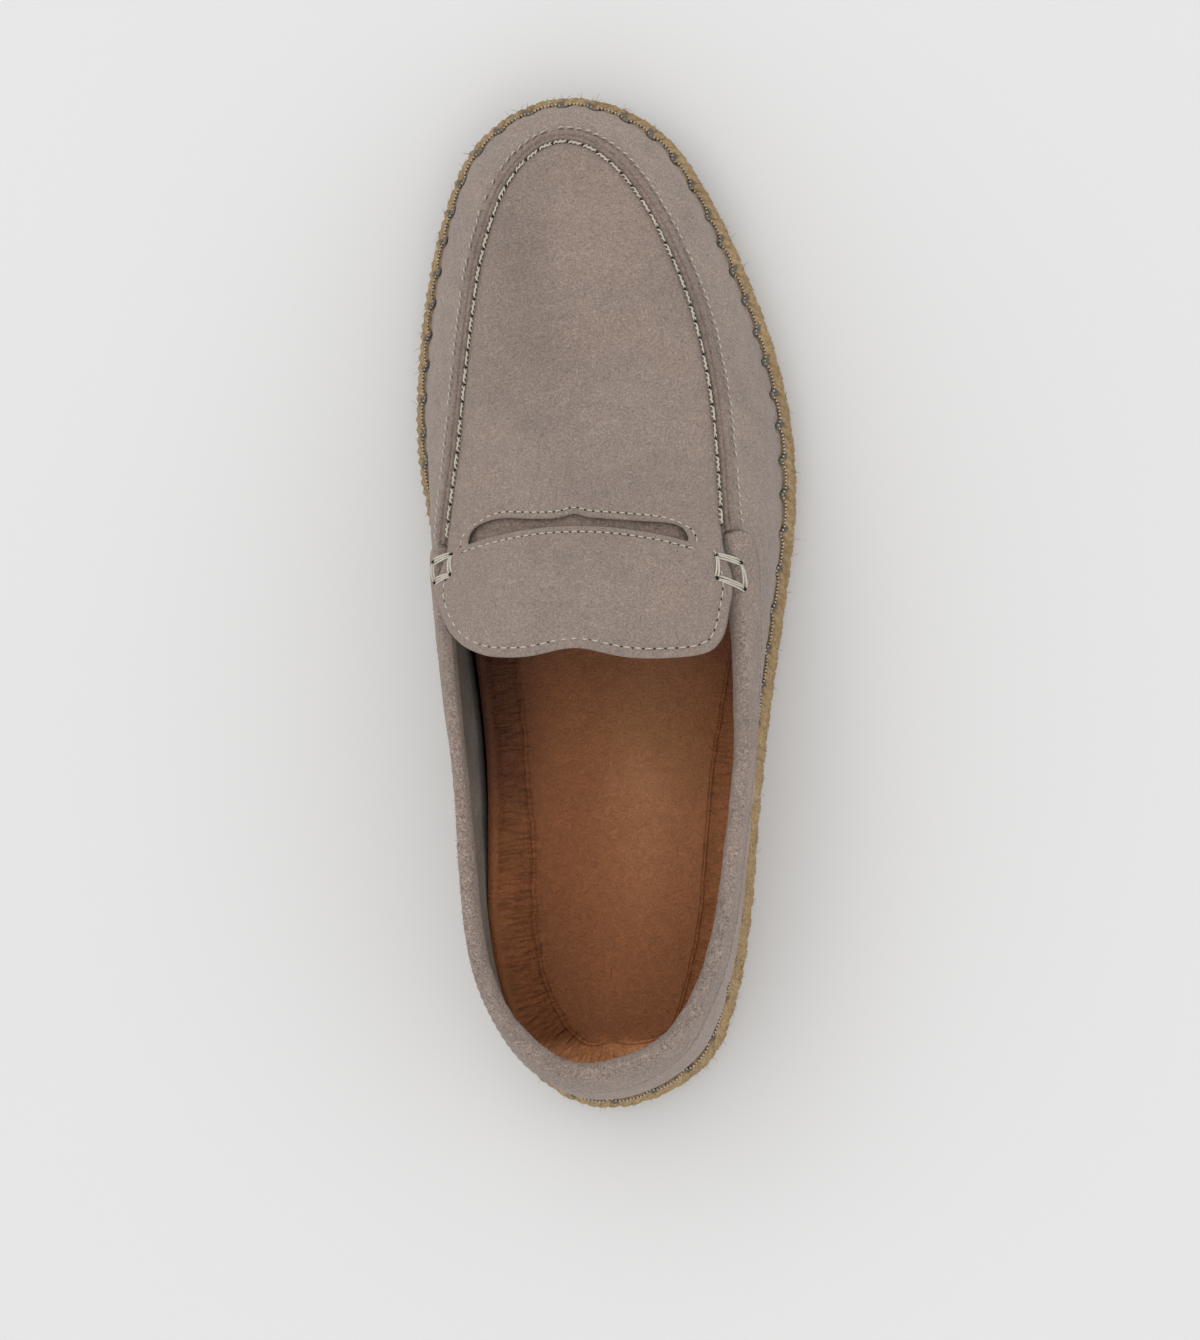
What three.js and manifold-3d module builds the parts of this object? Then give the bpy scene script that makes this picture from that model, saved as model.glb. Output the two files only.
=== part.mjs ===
// A right-foot slip-on shoe: a suede moccasin upper with a long apron tongue, a padded collar
// and a tan leather footbed, on a jute rope sole with a thin rubber outsole.
// Millimetres. +Z is up, +Y runs from the heel to the toe, +X is the outer (lateral) side.

import * as THREE from "three";
import { mergeVertices } from "three/addons/utils/BufferGeometryUtils.js";
import Module from "manifold-3d";

// Driving dimensions of the shoe.
const SHOE_LENGTH = 292;
const BALL_WIDTH = 109;
const HEEL_THICKNESS = 24;
const FOREFOOT_THICKNESS = 19;
const TOE_SPRING = 8;
const ARCH_RISE = 0.8;
const BACK_HEIGHT = 53;
const INSTEP_BOW = 35;

// Sole build.
const OUTSOLE_THICKNESS = 3.6;
const OUTSOLE_INSET = 1.2;
const ROPE_ROWS = 3;
const ROPE_RIB_DEPTH = 1.3;
const WELT_LEDGE = 3.4;

// Upper build.
const WALL = 1.8;
const WALL_BULGE = 4;
const SEAM_WIDTH = 3.2;
const SEAM_HEIGHT = 1.7;
const SEAM_TOE_SETBACK = 12.5;
const TOPLINE_HEEL_SETBACK = 12;
const CORNER_REACH = 163;
const THROAT_REACH = 153;
const THROAT_TAB_HALF_WIDTH = 34.5;
const THROAT_TAB_BEVEL = 3;

// Apron and tongue.
const APRON_THICKNESS = 1.3;
const TONGUE_THICKNESS = 2.2;
const TONGUE_HALF_WIDTH = 41.5;
const TONGUE_REACH = 127.6;
const TONGUE_WAVE = 3.2;
const TONGUE_WAVE_WIDTH = 11;
const FLAP_SHOULDER = 8;

// The cut-out across the apron. Its height is HEIGHT at the middle and grows by FLARE outward.
const SLOT_REACH = 166.2;
const SLOT_HALF_WIDTH = 31.5;
const SLOT_HEIGHT = 2.3;
const SLOT_FLARE = 3.7;
const SLOT_BOW = 4.6;
const SLOT_PEAK = 1.1;
const SLOT_PEAK_WIDTH = 3;
const SLOT_TILT = -0.035;

// The padded collar.
const COLLAR_PAD = 2.2;
const COLLAR_DROP = 12;
const COLLAR_CREST = 3;
const COLLAR_END_ROUND = 9;

// The footbed.
const FOOTBED_THICKNESS = 3.6;
const FOOTBED_BANK = 5;
const FOOTBED_BANK_WIDTH = 12;

// Clearance between pieces that touch.
const GAP = 0.35;

// Sampling.
const STATIONS = 64;
const COLLAR_STATIONS = 46;

// Plan of the sole. along is the share of the shoe's length from the heel; the half widths are
// shares of the ball width, measured from the line between heel and toe.
const HEEL_TIP = -0.03;
const TOE_TIP = -0.034;
const SOLE_PLAN = [
  { along: 0.04, medial: 0.24, lateral: 0.222 },
  { along: 0.1, medial: 0.32, lateral: 0.301 },
  { along: 0.18, medial: 0.355, lateral: 0.349 },
  { along: 0.28, medial: 0.363, lateral: 0.383 },
  { along: 0.38, medial: 0.372, lateral: 0.424 },
  { along: 0.48, medial: 0.404, lateral: 0.474 },
  { along: 0.58, medial: 0.452, lateral: 0.517 },
  { along: 0.66, medial: 0.477, lateral: 0.518 },
  { along: 0.74, medial: 0.466, lateral: 0.482 },
  { along: 0.82, medial: 0.431, lateral: 0.415 },
  { along: 0.9, medial: 0.367, lateral: 0.325 },
  { along: 0.96, medial: 0.276, lateral: 0.22 },
];

// The loop that closes the wall: the topline behind the throat, the apron seam in front of it.
// along is the share of this loop's own length. height is the wall's height above the sole as a
// share of the back height, bulge is a share of the wall's largest bulge.
const RIDGE_HEEL_TIP = -0.023;
const RIDGE_TOE_TIP = -0.026;
const RIDGE_PLAN = [
  { along: 0.026, medial: 0.18, lateral: 0.18 },
  { along: 0.079, medial: 0.28, lateral: 0.28 },
  { along: 0.135, medial: 0.327, lateral: 0.33 },
  { along: 0.222, medial: 0.348, lateral: 0.37 },
  { along: 0.32, medial: 0.355, lateral: 0.404 },
  { along: 0.41, medial: 0.367, lateral: 0.41 },
  { along: 0.504, medial: 0.373, lateral: 0.401 },
  { along: 0.575, medial: 0.366, lateral: 0.384 },
  { along: 0.654, medial: 0.34, lateral: 0.376 },
  { along: 0.729, medial: 0.318, lateral: 0.358 },
  { along: 0.805, medial: 0.294, lateral: 0.32 },
  { along: 0.88, medial: 0.26, lateral: 0.254 },
  { along: 0.955, medial: 0.188, lateral: 0.15 },
];
const WALL_PROFILE = [
  { along: 0, height: 1, bulge: 0.75 },
  { along: 0.026, height: 0.99, bulge: 0.75 },
  { along: 0.079, height: 0.934, bulge: 0.72 },
  { along: 0.135, height: 0.858, bulge: 0.7 },
  { along: 0.222, height: 0.783, bulge: 0.65 },
  { along: 0.32, height: 0.743, bulge: 0.62 },
  { along: 0.41, height: 0.753, bulge: 0.62 },
  { along: 0.504, height: 0.774, bulge: 0.7 },
  { along: 0.575, height: 0.785, bulge: 0.85 },
  { along: 0.654, height: 0.71, bulge: 1 },
  { along: 0.729, height: 0.632, bulge: 1.1 },
  { along: 0.805, height: 0.564, bulge: 1.1 },
  { along: 0.88, height: 0.477, bulge: 1.05 },
  { along: 0.955, height: 0.358, bulge: 0.95 },
  { along: 1, height: 0.287, bulge: 0.85 },
];

// The apron's arch over the foot. along is the share of the shoe's length. lift is the height of
// the apron's edge above the wall's top as a share of the collar's crest, bow a share of the
// instep bow, and double says where the tongue has its full thickness.
const APRON_PROFILE = [
  { along: 0.42, lift: 3.1, bow: 1.13, double: 1 },
  { along: 0.45, lift: 2.85, bow: 1.1, double: 1 },
  { along: 0.5, lift: 2.5, bow: 1, double: 1 },
  { along: 0.535, lift: 1.9, bow: 0.95, double: 1 },
  { along: 0.56, lift: 1, bow: 0.91, double: 0.7 },
  { along: 0.59, lift: 0.66, bow: 0.84, double: 0.2 },
  { along: 0.64, lift: 0.6, bow: 0.72, double: 0 },
  { along: 0.705, lift: 0.56, bow: 0.57, double: 0 },
  { along: 0.775, lift: 0.54, bow: 0.47, double: 0 },
  { along: 0.84, lift: 0.52, bow: 0.44, double: 0 },
  { along: 0.91, lift: 0.5, bow: 0.4, double: 0 },
  { along: 0.96, lift: 0.5, bow: 0.38, double: 0 },
];

// Plan of the apron with its tongue, in shares of its own length and of the tongue's half width.
const TONGUE_PLAN = [
  { along: 0.004, medial: 0.62, lateral: 0.62 },
  { along: 0.012, medial: 0.8, lateral: 0.83 },
  { along: 0.035, medial: 0.92, lateral: 0.94 },
  { along: 0.08, medial: 0.985, lateral: 0.995 },
  { along: 0.16, medial: 1, lateral: 1.02 },
];

// Height of the footbed's banked side around the shoe, as a share of the full bank.
const BANK_PROFILE = [
  { along: 0, bank: 1 },
  { along: 0.3, bank: 1 },
  { along: 0.48, bank: 0.9 },
  { along: 0.62, bank: 0.45 },
  { along: 0.8, bank: 0.2 },
  { along: 1, bank: 0.15 },
];

// The collar's section, once round it. out is the side offset from the wall's outer face and up
// the height above the wall's top, each worked out from the sizes of the pad and the wall.
const GROOVE_OUT = GAP;
const GROOVE_IN = -WALL - GAP;
const COLLAR_SECTION = [
  { out: GROOVE_OUT, up: -COLLAR_DROP * 0.95 },
  { out: GROOVE_OUT + COLLAR_PAD * 0.45, up: -COLLAR_DROP },
  { out: GROOVE_OUT + COLLAR_PAD * 0.85, up: -COLLAR_DROP * 0.78 },
  { out: GROOVE_OUT + COLLAR_PAD, up: -COLLAR_DROP * 0.42 },
  { out: GROOVE_OUT + COLLAR_PAD * 0.85, up: 0 },
  { out: GROOVE_OUT + COLLAR_PAD * 0.3, up: COLLAR_CREST * 0.75 },
  { out: -WALL / 2, up: COLLAR_CREST },
  { out: GROOVE_IN - COLLAR_PAD * 0.3, up: COLLAR_CREST * 0.75 },
  { out: GROOVE_IN - COLLAR_PAD * 0.85, up: 0 },
  { out: GROOVE_IN - COLLAR_PAD, up: -COLLAR_DROP * 0.42 },
  { out: GROOVE_IN - COLLAR_PAD * 0.8, up: -COLLAR_DROP * 0.8 },
  { out: GROOVE_IN - COLLAR_PAD * 0.35, up: -COLLAR_DROP },
  { out: GROOVE_IN, up: -COLLAR_DROP * 0.95 },
];

const wasm = await Module();
wasm.setup();

// Curves: smooth interpolation through the rows of a table.

function slopeAt(knots, i) {
  const before = knots[Math.max(i - 1, 0)];
  const after = knots[Math.min(i + 1, knots.length - 1)];
  return (after.value - before.value) / (after.at - before.at);
}

function smooth(knots, at) {
  const first = knots[0];
  const last = knots[knots.length - 1];
  if (at <= first.at) {
    return first.value;
  }
  if (at >= last.at) {
    return last.value;
  }
  let i = 0;
  while (knots[i + 1].at < at) {
    i += 1;
  }
  const a = knots[i];
  const b = knots[i + 1];
  const span = b.at - a.at;
  const t = (at - a.at) / span;
  const h = t * t * (3 - 2 * t);
  const bendA = slopeAt(knots, i) * span * t * (1 - t) * (1 - t);
  const bendB = slopeAt(knots, i + 1) * span * t * t * (t - 1);
  return a.value + (b.value - a.value) * h + bendA + bendB;
}

function column(table, name) {
  return table.map((row) => ({ at: row.along, value: row[name] }));
}

// A closed loop in plan. Its angle runs from 0 at the heel along the lateral side to PI at the
// toe and back along the medial side, and along = (1 - cos(angle)) / 2.
const angleOf = (along) => Math.acos(Math.min(1, Math.max(-1, 1 - 2 * along)));

function planLoop(table, heelTip, toeTip) {
  const lateral = table.map((row) => ({ at: angleOf(row.along), value: row.lateral }));
  const medial = table.map((row) => ({ at: -angleOf(row.along), value: -row.medial })).reverse();
  const turn = [...medial, { at: 0, value: heelTip }, ...lateral];
  const toe = [{ at: Math.PI, value: toeTip }];
  const next = medial.map((k) => ({ at: k.at + 2 * Math.PI, value: k.value }));
  const knots = [
    ...lateral.slice(-2).map((k) => ({ at: k.at - 2 * Math.PI, value: k.value })),
    { at: -Math.PI, value: toeTip },
    ...turn,
    ...toe,
    ...next,
  ];
  return (angle) => smooth(knots, angle > Math.PI ? angle - 2 * Math.PI : angle);
}

// The sole.

const soleX = planLoop(SOLE_PLAN, HEEL_TIP, TOE_TIP);
const halfLength = SHOE_LENGTH / 2;
const alongOf = (y) => (y + halfLength) / SHOE_LENGTH;
const reachY = (reach) => reach - halfLength;

function ease(t) {
  const c = Math.min(1, Math.max(0, t));
  return c * c * (3 - 2 * c);
}

// Where the ground contact ends and the toe starts to lift, as shares of the length.
const SPRING_START = 0.74;
const WEDGE_START = 0.28;
const WEDGE_END = 0.5;
const ARCH_START = 0.33;
const ARCH_END = 0.5;

function groundZ(y) {
  const s = alongOf(y);
  const spring = Math.max(0, (s - SPRING_START) / (1 - SPRING_START));
  const arch = Math.max(0, (s - ARCH_START) * (ARCH_END - s)) * (4 / (ARCH_END - ARCH_START) ** 2);
  return TOE_SPRING * spring * spring + ARCH_RISE * arch;
}

function soleTopZ(y) {
  const s = alongOf(y);
  const drop = ease((s - WEDGE_START) / (WEDGE_END - WEDGE_START));
  const thick = HEEL_THICKNESS + (FOREFOOT_THICKNESS - HEEL_THICKNESS) * drop;
  const spring = Math.max(0, (s - SPRING_START) / (1 - SPRING_START));
  return thick + TOE_SPRING * spring * spring;
}

// The sole's outline moved inward by inset.
function solePoint(angle, inset) {
  const y = -Math.cos(angle) * halfLength;
  const step = 0.01;
  const across = (a) => soleX(a) * BALL_WIDTH;
  const tangent = new THREE.Vector2(
    across(angle + step) - across(angle - step),
    Math.sin(angle) * halfLength * 2 * step,
  ).normalize();
  return new THREE.Vector2(across(angle) - tangent.y * inset, y + tangent.x * inset);
}

// The upper's wall, from the feather line on the sole up to the ridge.

const ridgeX = planLoop(RIDGE_PLAN, RIDGE_HEEL_TIP, RIDGE_TOE_TIP);
const ridgeHeel = -halfLength + TOPLINE_HEEL_SETBACK;
const ridgeToe = halfLength - SEAM_TOE_SETBACK;
const ridgeMid = (ridgeHeel + ridgeToe) / 2;
const ridgeHalf = (ridgeToe - ridgeHeel) / 2;
const wallHeight = column(WALL_PROFILE, "height");
const wallBulge = column(WALL_PROFILE, "bulge");
const BULGE_SKEW = 0.85;
const ridgeAngle = (y) => Math.acos(Math.min(1, Math.max(-1, (ridgeMid - y) / ridgeHalf)));
const shareOf = (angle) => (1 - Math.cos(angle)) / 2;

function ridgePoint(angle) {
  const y = ridgeMid - Math.cos(angle) * ridgeHalf;
  const rise = smooth(wallHeight, shareOf(angle)) * BACK_HEIGHT;
  return new THREE.Vector3(ridgeX(angle) * BALL_WIDTH, y, soleTopZ(y) + rise);
}

function featherPoint(angle) {
  const p = solePoint(angle, WELT_LEDGE);
  return new THREE.Vector3(p.x, p.y, soleTopZ(p.y) + GAP);
}

function wallPoint(angle, v) {
  const foot = featherPoint(angle);
  const top = ridgePoint(angle);
  const edge = solePoint(angle, 0);
  const outward = new THREE.Vector3(edge.x - foot.x, edge.y - foot.y, 0).normalize();
  const shape = Math.sign(v) * Math.sin(Math.PI * Math.abs(v) ** BULGE_SKEW);
  const bulge = smooth(wallBulge, shareOf(angle)) * WALL_BULGE * shape;
  return foot.lerp(top, v).addScaledVector(outward, bulge);
}

// A point beside the wall: offset is measured outward from its outer face.
function besideWall(angle, v, offset) {
  const step = 0.02;
  const level = Math.min(Math.max(v, step), 1);
  const round = wallPoint(angle + step, level).sub(wallPoint(angle - step, level));
  const up = wallPoint(angle, level + step).sub(wallPoint(angle, level - step));
  return wallPoint(angle, v).addScaledVector(round.cross(up).normalize(), offset);
}

// The apron: a height over each point of the plan, arched between the two sides of the ridge.

const apronLift = column(APRON_PROFILE, "lift");
const apronBow = column(APRON_PROFILE, "bow");
const apronDouble = column(APRON_PROFILE, "double");

function apronZ(x, y) {
  const angle = ridgeAngle(y);
  const low = ridgeX(-angle) * BALL_WIDTH;
  const high = ridgeX(angle) * BALL_WIDTH;
  const half = BALL_WIDTH / 2;
  const s = alongOf(y);
  const bow = smooth(apronBow, s) * INSTEP_BOW;
  const edge = ridgePoint(angle).z + smooth(apronLift, s) * COLLAR_CREST;
  return edge + (bow * (x - low) * (high - x)) / (half * half);
}

// The surface that lies depth below the apron's top, measured square to it.
function underApron(x, y, depth) {
  const step = 0.5;
  const dx = (apronZ(x + step, y) - apronZ(x - step, y)) / (2 * step);
  const dy = (apronZ(x, y + step) - apronZ(x, y - step)) / (2 * step);
  return apronZ(x, y) - depth * Math.sqrt(1 + dx * dx + dy * dy);
}

function apronThickness(y) {
  return APRON_THICKNESS + (TONGUE_THICKNESS - APRON_THICKNESS) * smooth(apronDouble, alongOf(y));
}

// Solids from rings of points. Each ring runs once round the shoe, from the heel along the
// lateral side, with as many points on either side, so that a ladder across it closes an end.

const angles = Array.from({ length: STATIONS }, (_, i) => (2 * Math.PI * i) / STATIONS);

function toManifold(geometry) {
  const merged = mergeVertices(geometry, 1e-4);
  return new wasm.Manifold(
    new wasm.Mesh({
      numProp: 3,
      vertProperties: merged.attributes.position.array,
      triVerts: new Uint32Array(merged.index.array),
    }),
  );
}

function solidOf(points, faces) {
  const geometry = new THREE.BufferGeometry();
  const flat = points.flatMap((p) => [p.x, p.y, p.z]);
  geometry.setAttribute("position", new THREE.Float32BufferAttribute(flat, 3));
  geometry.setIndex(faces);
  return toManifold(geometry);
}

function ringSolid(rings) {
  const n = rings[0].length;
  const faces = [];
  for (let r = 0; r + 1 < rings.length; r += 1) {
    for (let i = 0; i < n; i += 1) {
      const j = (i + 1) % n;
      const a = r * n + i;
      const b = r * n + j;
      faces.push(a, b, b + n, a, b + n, a + n);
    }
  }
  const ladder = (base, up) => {
    for (let i = 0; i < n / 2; i += 1) {
      const near = [base + i, base + i + 1];
      const far = [base + ((n - i) % n), base + n - i - 1];
      const quads = [
        [near[0], near[1], far[1]],
        [near[0], far[1], far[0]],
      ];
      quads.forEach(([a, b, c]) => {
        if (a === b || b === c || a === c) {
          return;
        }
        faces.push(...(up ? [a, b, c] : [a, c, b]));
      });
    }
  };
  ladder(0, false);
  ladder((rings.length - 1) * n, true);
  return solidOf(rings.flat(), faces);
}

const ring = (place) => angles.map(place);

const raised = (points, z) => points.map((p) => new THREE.Vector3(p.x, p.y, z(p)));

// A section swept from one end to the other, its two ends closed by the section's own face.
function sweptSolid(sections, outline) {
  const n = outline.length;
  const faces = [];
  for (let s = 0; s + 1 < sections.length; s += 1) {
    for (let i = 0; i < n; i += 1) {
      const j = (i + 1) % n;
      const a = s * n + i;
      const b = s * n + j;
      faces.push(a, a + n, b + n, a, b + n, b);
    }
  }
  const last = (sections.length - 1) * n;
  THREE.ShapeUtils.triangulateShape(outline, []).forEach(([a, b, c]) => {
    faces.push(a, b, c);
    faces.push(last + a, last + c, last + b);
  });
  return solidOf(sections.flat(), faces);
}

function prism(outline, low, high) {
  const shape = new THREE.Shape(outline.map(([x, y]) => new THREE.Vector2(x, y)));
  const geometry = new THREE.ExtrudeGeometry(shape, { depth: high - low, bevelEnabled: false });
  geometry.translate(0, 0, low);
  geometry.deleteAttribute("normal");
  geometry.deleteAttribute("uv");
  return toManifold(geometry);
}

// Outsole: a thin rubber sheet under the rope, its lower edge eased.
const OUTSOLE_EASE = 1.2;

function makeOutsole() {
  const levels = [
    { share: 0, inset: OUTSOLE_INSET + OUTSOLE_EASE },
    { share: 0.3, inset: OUTSOLE_INSET },
    { share: 1, inset: OUTSOLE_INSET },
  ];
  return ringSolid(
    levels.map(({ share, inset }) =>
      ring((angle) => {
        const p = solePoint(angle, inset);
        return new THREE.Vector3(p.x, p.y, groundZ(p.y) + share * OUTSOLE_THICKNESS);
      }),
    ),
  );
}

// Midsole: jute, its side ribbed by the rows of rope wound round it.
const RIB_STEPS = [0.06, 0.3, 0.7, 0.94];
const RIB_FULLNESS = 0.6;

function makeMidsole() {
  const levels = [{ share: 0, inset: ROPE_RIB_DEPTH }];
  for (let row = 0; row < ROPE_ROWS; row += 1) {
    RIB_STEPS.forEach((t) => {
      const inset = ROPE_RIB_DEPTH * (1 - Math.sin(Math.PI * t) ** RIB_FULLNESS);
      levels.push({ share: (row + t) / ROPE_ROWS, inset });
    });
  }
  levels.push({ share: 1, inset: ROPE_RIB_DEPTH * 1.6 });
  return ringSolid(
    levels.map(({ share, inset }) =>
      ring((angle) => {
        const p = solePoint(angle, inset);
        const low = groundZ(p.y) + OUTSOLE_THICKNESS + GAP;
        return new THREE.Vector3(p.x, p.y, low + share * (soleTopZ(p.y) - low));
      }),
    ),
  );
}

// The footbed lies on the midsole and is banked up the inside of the wall to cup the foot.
const FOOTBED_LEVELS = [
  { across: 0.04, bank: 0.92 },
  { across: 0.3, bank: 0.5 },
  { across: 0.62, bank: 0.16 },
  { across: 1, bank: 0 },
  { across: 1.6, bank: -0.04 },
];

function makeFootbed() {
  const bankShare = column(BANK_PROFILE, "bank");
  const bankAt = (y) => FOOTBED_BANK * smooth(bankShare, alongOf(y));
  const side = (share) =>
    ring((angle) => {
      const foot = featherPoint(angle);
      const height = share * (FOOTBED_THICKNESS + bankAt(foot.y));
      const v = height / (ridgePoint(angle).z - foot.z);
      return besideWall(angle, v, -WALL - GAP);
    });
  const edgeInset = WELT_LEDGE + WALL + GAP;
  const top = FOOTBED_LEVELS.map(({ across, bank }) =>
    ring((angle) => {
      const p = solePoint(angle, edgeInset + across * FOOTBED_BANK_WIDTH);
      const z = soleTopZ(p.y) + GAP + FOOTBED_THICKNESS + bank * bankAt(p.y);
      return new THREE.Vector3(p.x, p.y, z);
    }),
  );
  const base = ring((angle) => {
    const p = solePoint(angle, edgeInset + FOOTBED_THICKNESS / 4);
    return new THREE.Vector3(p.x, p.y, soleTopZ(p.y) + GAP);
  });
  return ringSolid([base, side(0.3), side(0.9), ...top]);
}

// Upper: one hollow wall from the feather line to the topline, closed over the toes by the
// layer that carries the apron, with the raised moccasin seam round the apron.
const WALL_LEVELS = [0, 0.09, 0.22, 0.38, 0.55, 0.72, 0.87, 1];
const INNER_LEVELS = [-0.12, 0.15, 0.4, 0.65, 0.87];
const BAND_LEVELS = [0.4, 0.65, 0.87, 1];
const CAP_LEVELS = [0.12, 0.32, 0.6, 0.92];
const FAN_ROOM = 26;

// The point of the spine that a ray from the rim runs to.
function spinePoint(y, rear) {
  const clamped = Math.min(ridgeToe - FAN_ROOM, Math.max(rear, y));
  const angle = ridgeAngle(clamped);
  return new THREE.Vector2(((ridgeX(angle) + ridgeX(-angle)) / 2) * BALL_WIDTH, clamped);
}

function capRings(startRing, levels, rear, heightOf) {
  return levels.map((w) =>
    startRing.map((start) => {
      const spine = spinePoint(start.y, rear);
      const x = start.x + (spine.x - start.x) * w;
      const y = start.y + (spine.y - start.y) * w;
      return new THREE.Vector3(x, y, heightOf(x, y));
    }),
  );
}

const cornerY = reachY(CORNER_REACH);

// A point of the ridge moved inward by inset, in plan.
function ridgeInset(angle, inset) {
  const step = 0.01;
  const top = ridgePoint(angle);
  const along = ridgePoint(angle + step).sub(ridgePoint(angle - step));
  const out = new THREE.Vector3(along.y, -along.x, 0).normalize();
  return top.addScaledVector(out, -inset);
}

// The seam's section: out from the ridge line and up from it.
const SEAM_SECTION = [
  { out: 0.5, up: -0.9 },
  { out: 0.5, up: 0.3 },
  { out: 0.3, up: 0.85 },
  { out: 0, up: 1 },
  { out: -0.35, up: 0.9 },
  { out: -0.5, up: 0.55 },
  { out: -0.5, up: -0.7 },
];

function makeSeam() {
  const start = ridgeAngle(cornerY + GAP);
  const steps = STATIONS / 2;
  const sections = [];
  for (let i = 0; i <= steps; i += 1) {
    const angle = start + ((2 * Math.PI - 2 * start) * i) / steps;
    sections.push(
      SEAM_SECTION.map(({ out, up }) => {
        const p = ridgeInset(angle, -out * SEAM_WIDTH);
        return p.add(new THREE.Vector3(0, 0, up * SEAM_HEIGHT));
      }),
    );
  }
  return sweptSolid(sections, SEAM_SECTION.map(({ out, up }) => new THREE.Vector2(out, up)));
}

// Room above everything, for cutters.
const SKY = 200;

function throatCutter() {
  const faces = BAND_LEVELS.map((v) => ring((a) => besideWall(a, v, -WALL)));
  const inner = ringSolid([...faces, raised(faces[faces.length - 1], () => SKY)]);
  const rim = ring((angle) => ridgeInset(angle, -WALL));
  const above = ringSolid([rim, raised(rim, () => SKY)]);
  const back = reachY(THROAT_REACH);
  const front = cornerY + GAP / 2;
  const tab = THROAT_TAB_HALF_WIDTH;
  const bevel = THROAT_TAB_BEVEL;
  const side = SHOE_LENGTH;
  const outline = [
    [-side, -side],
    [side, -side],
    [side, front],
    [tab, front],
    [tab, back + bevel],
    [tab - bevel, back],
    [bevel - tab, back],
    [-tab, back + bevel],
    [-tab, front],
    [-side, front],
  ];
  return inner.add(above).intersect(prism(outline, 0, SKY));
}

function makeUpper() {
  const carrier = (y) => apronThickness(y) + GAP;
  const rear = ridgeHeel + FAN_ROOM;
  const spare = 2 * GAP;
  const wallRings = WALL_LEVELS.map((v) => ring((angle) => wallPoint(angle, v)));
  const rim = wallRings[wallRings.length - 1];
  const outerTop = (x, y) => underApron(x, y, carrier(y) - spare);
  const outer = ringSolid([...wallRings, ...capRings(rim, CAP_LEVELS, rear, outerTop)]);
  const innerRings = INNER_LEVELS.map((v) => ring((angle) => besideWall(angle, v, -WALL)));
  const innerTop = (x, y) => underApron(x, y, carrier(y) + WALL);
  const brim = ring((angle) => {
    const p = besideWall(angle, 1, -1.5 * WALL);
    return new THREE.Vector3(p.x, p.y, innerTop(p.x, p.y));
  });
  const inner = ringSolid([...innerRings, brim, ...capRings(brim, CAP_LEVELS, rear, innerTop)]);
  const shell = outer.subtract(inner).subtract(apronRoom()).subtract(throatCutter());
  return shell.add(makeSeam());
}

// Apron and tongue: one piece that lies inside the seam and runs back as a flap over the
// collar's front ends. Its plan follows the seam in front of the corners.
const flapX = planLoop(TONGUE_PLAN, 0.0, 0.0);
const tongueY = reachY(TONGUE_REACH);
const apronLength = ridgeToe - tongueY;
const APRON_LEVELS = [0.1, 0.3, 0.6, 0.93];
const APRON_CROWDING = 0.5;
const apronAngles = angles.map((angle) => angle - APRON_CROWDING * Math.sin(angle));
const tongueRear = tongueY + FAN_ROOM / 2;

function flapWave(x, y) {
  const fade = 1 - ease((y - tongueY) / FAN_ROOM);
  return TONGUE_WAVE * fade * Math.exp(-((x / TONGUE_WAVE_WIDTH) ** 2));
}

function apronEdge(angle, growth) {
  const y = tongueY + ((1 - Math.cos(angle)) / 2) * apronLength;
  const side = angle < Math.PI ? 1 : -1;
  const flap = new THREE.Vector2(flapX(angle) * TONGUE_HALF_WIDTH, y);
  const inset = SEAM_WIDTH / 2 + GAP - growth;
  const seam = ridgeInset(side * ridgeAngle(Math.max(y, tongueY)), inset);
  const blend = ease((cornerY + GAP / 2 - y) / FLAP_SHOULDER);
  const p = new THREE.Vector2(seam.x, seam.y).lerp(flap, blend);
  p.x += growth * blend * Math.sign(p.x);
  p.y += flapWave(p.x, p.y) - growth * blend * Math.max(0, Math.cos(angle));
  return p;
}

// The apron between two depths under its top face, its outline grown by growth.
function apronSlab(low, high, growth) {
  const edge = apronAngles.map((angle) => apronEdge(angle, growth));
  const at = (p, height) => new THREE.Vector3(p.x, p.y, height(p.x, p.y));
  const below = edge.map((p) => at(p, low));
  const above = edge.map((p) => at(p, high));
  const under = capRings(below, APRON_LEVELS, tongueRear, low).reverse();
  return ringSolid([...under, below, above, ...capRings(above, APRON_LEVELS, tongueRear, high)]);
}

// The cut-out: an arched slot with rounded ends, fuller at its shoulders, and a small peak.
function slotCutter() {
  const steps = 14;
  const lower = [];
  const upper = [];
  for (let i = -steps; i <= steps; i += 1) {
    const u = Math.sin((Math.PI / 2) * (i / steps));
    const x = u * SLOT_HALF_WIDTH;
    const y = reachY(SLOT_REACH) - SLOT_BOW * u * u + SLOT_TILT * x;
    const full = (SLOT_HEIGHT + SLOT_FLARE * u ** 4) * Math.sqrt(1 - u ** 8);
    const peak = SLOT_PEAK * Math.exp(-((x / SLOT_PEAK_WIDTH) ** 2));
    lower.push([x, y]);
    upper.push([x, y + full + peak]);
  }
  return prism([...lower, ...upper.slice(1, -1).reverse()], 0, SKY);
}

function makeApron() {
  const top = (x, y) => apronZ(x, y);
  const bottom = (x, y) => underApron(x, y, apronThickness(y));
  return apronSlab(bottom, top, 0).subtract(slotCutter());
}

// The room that the apron takes up, with its clearance, for the pieces under it.
function apronRoom() {
  const low = (x, y) => underApron(x, y, apronThickness(y) + GAP);
  return apronSlab(low, () => SKY, GAP);
}

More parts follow.
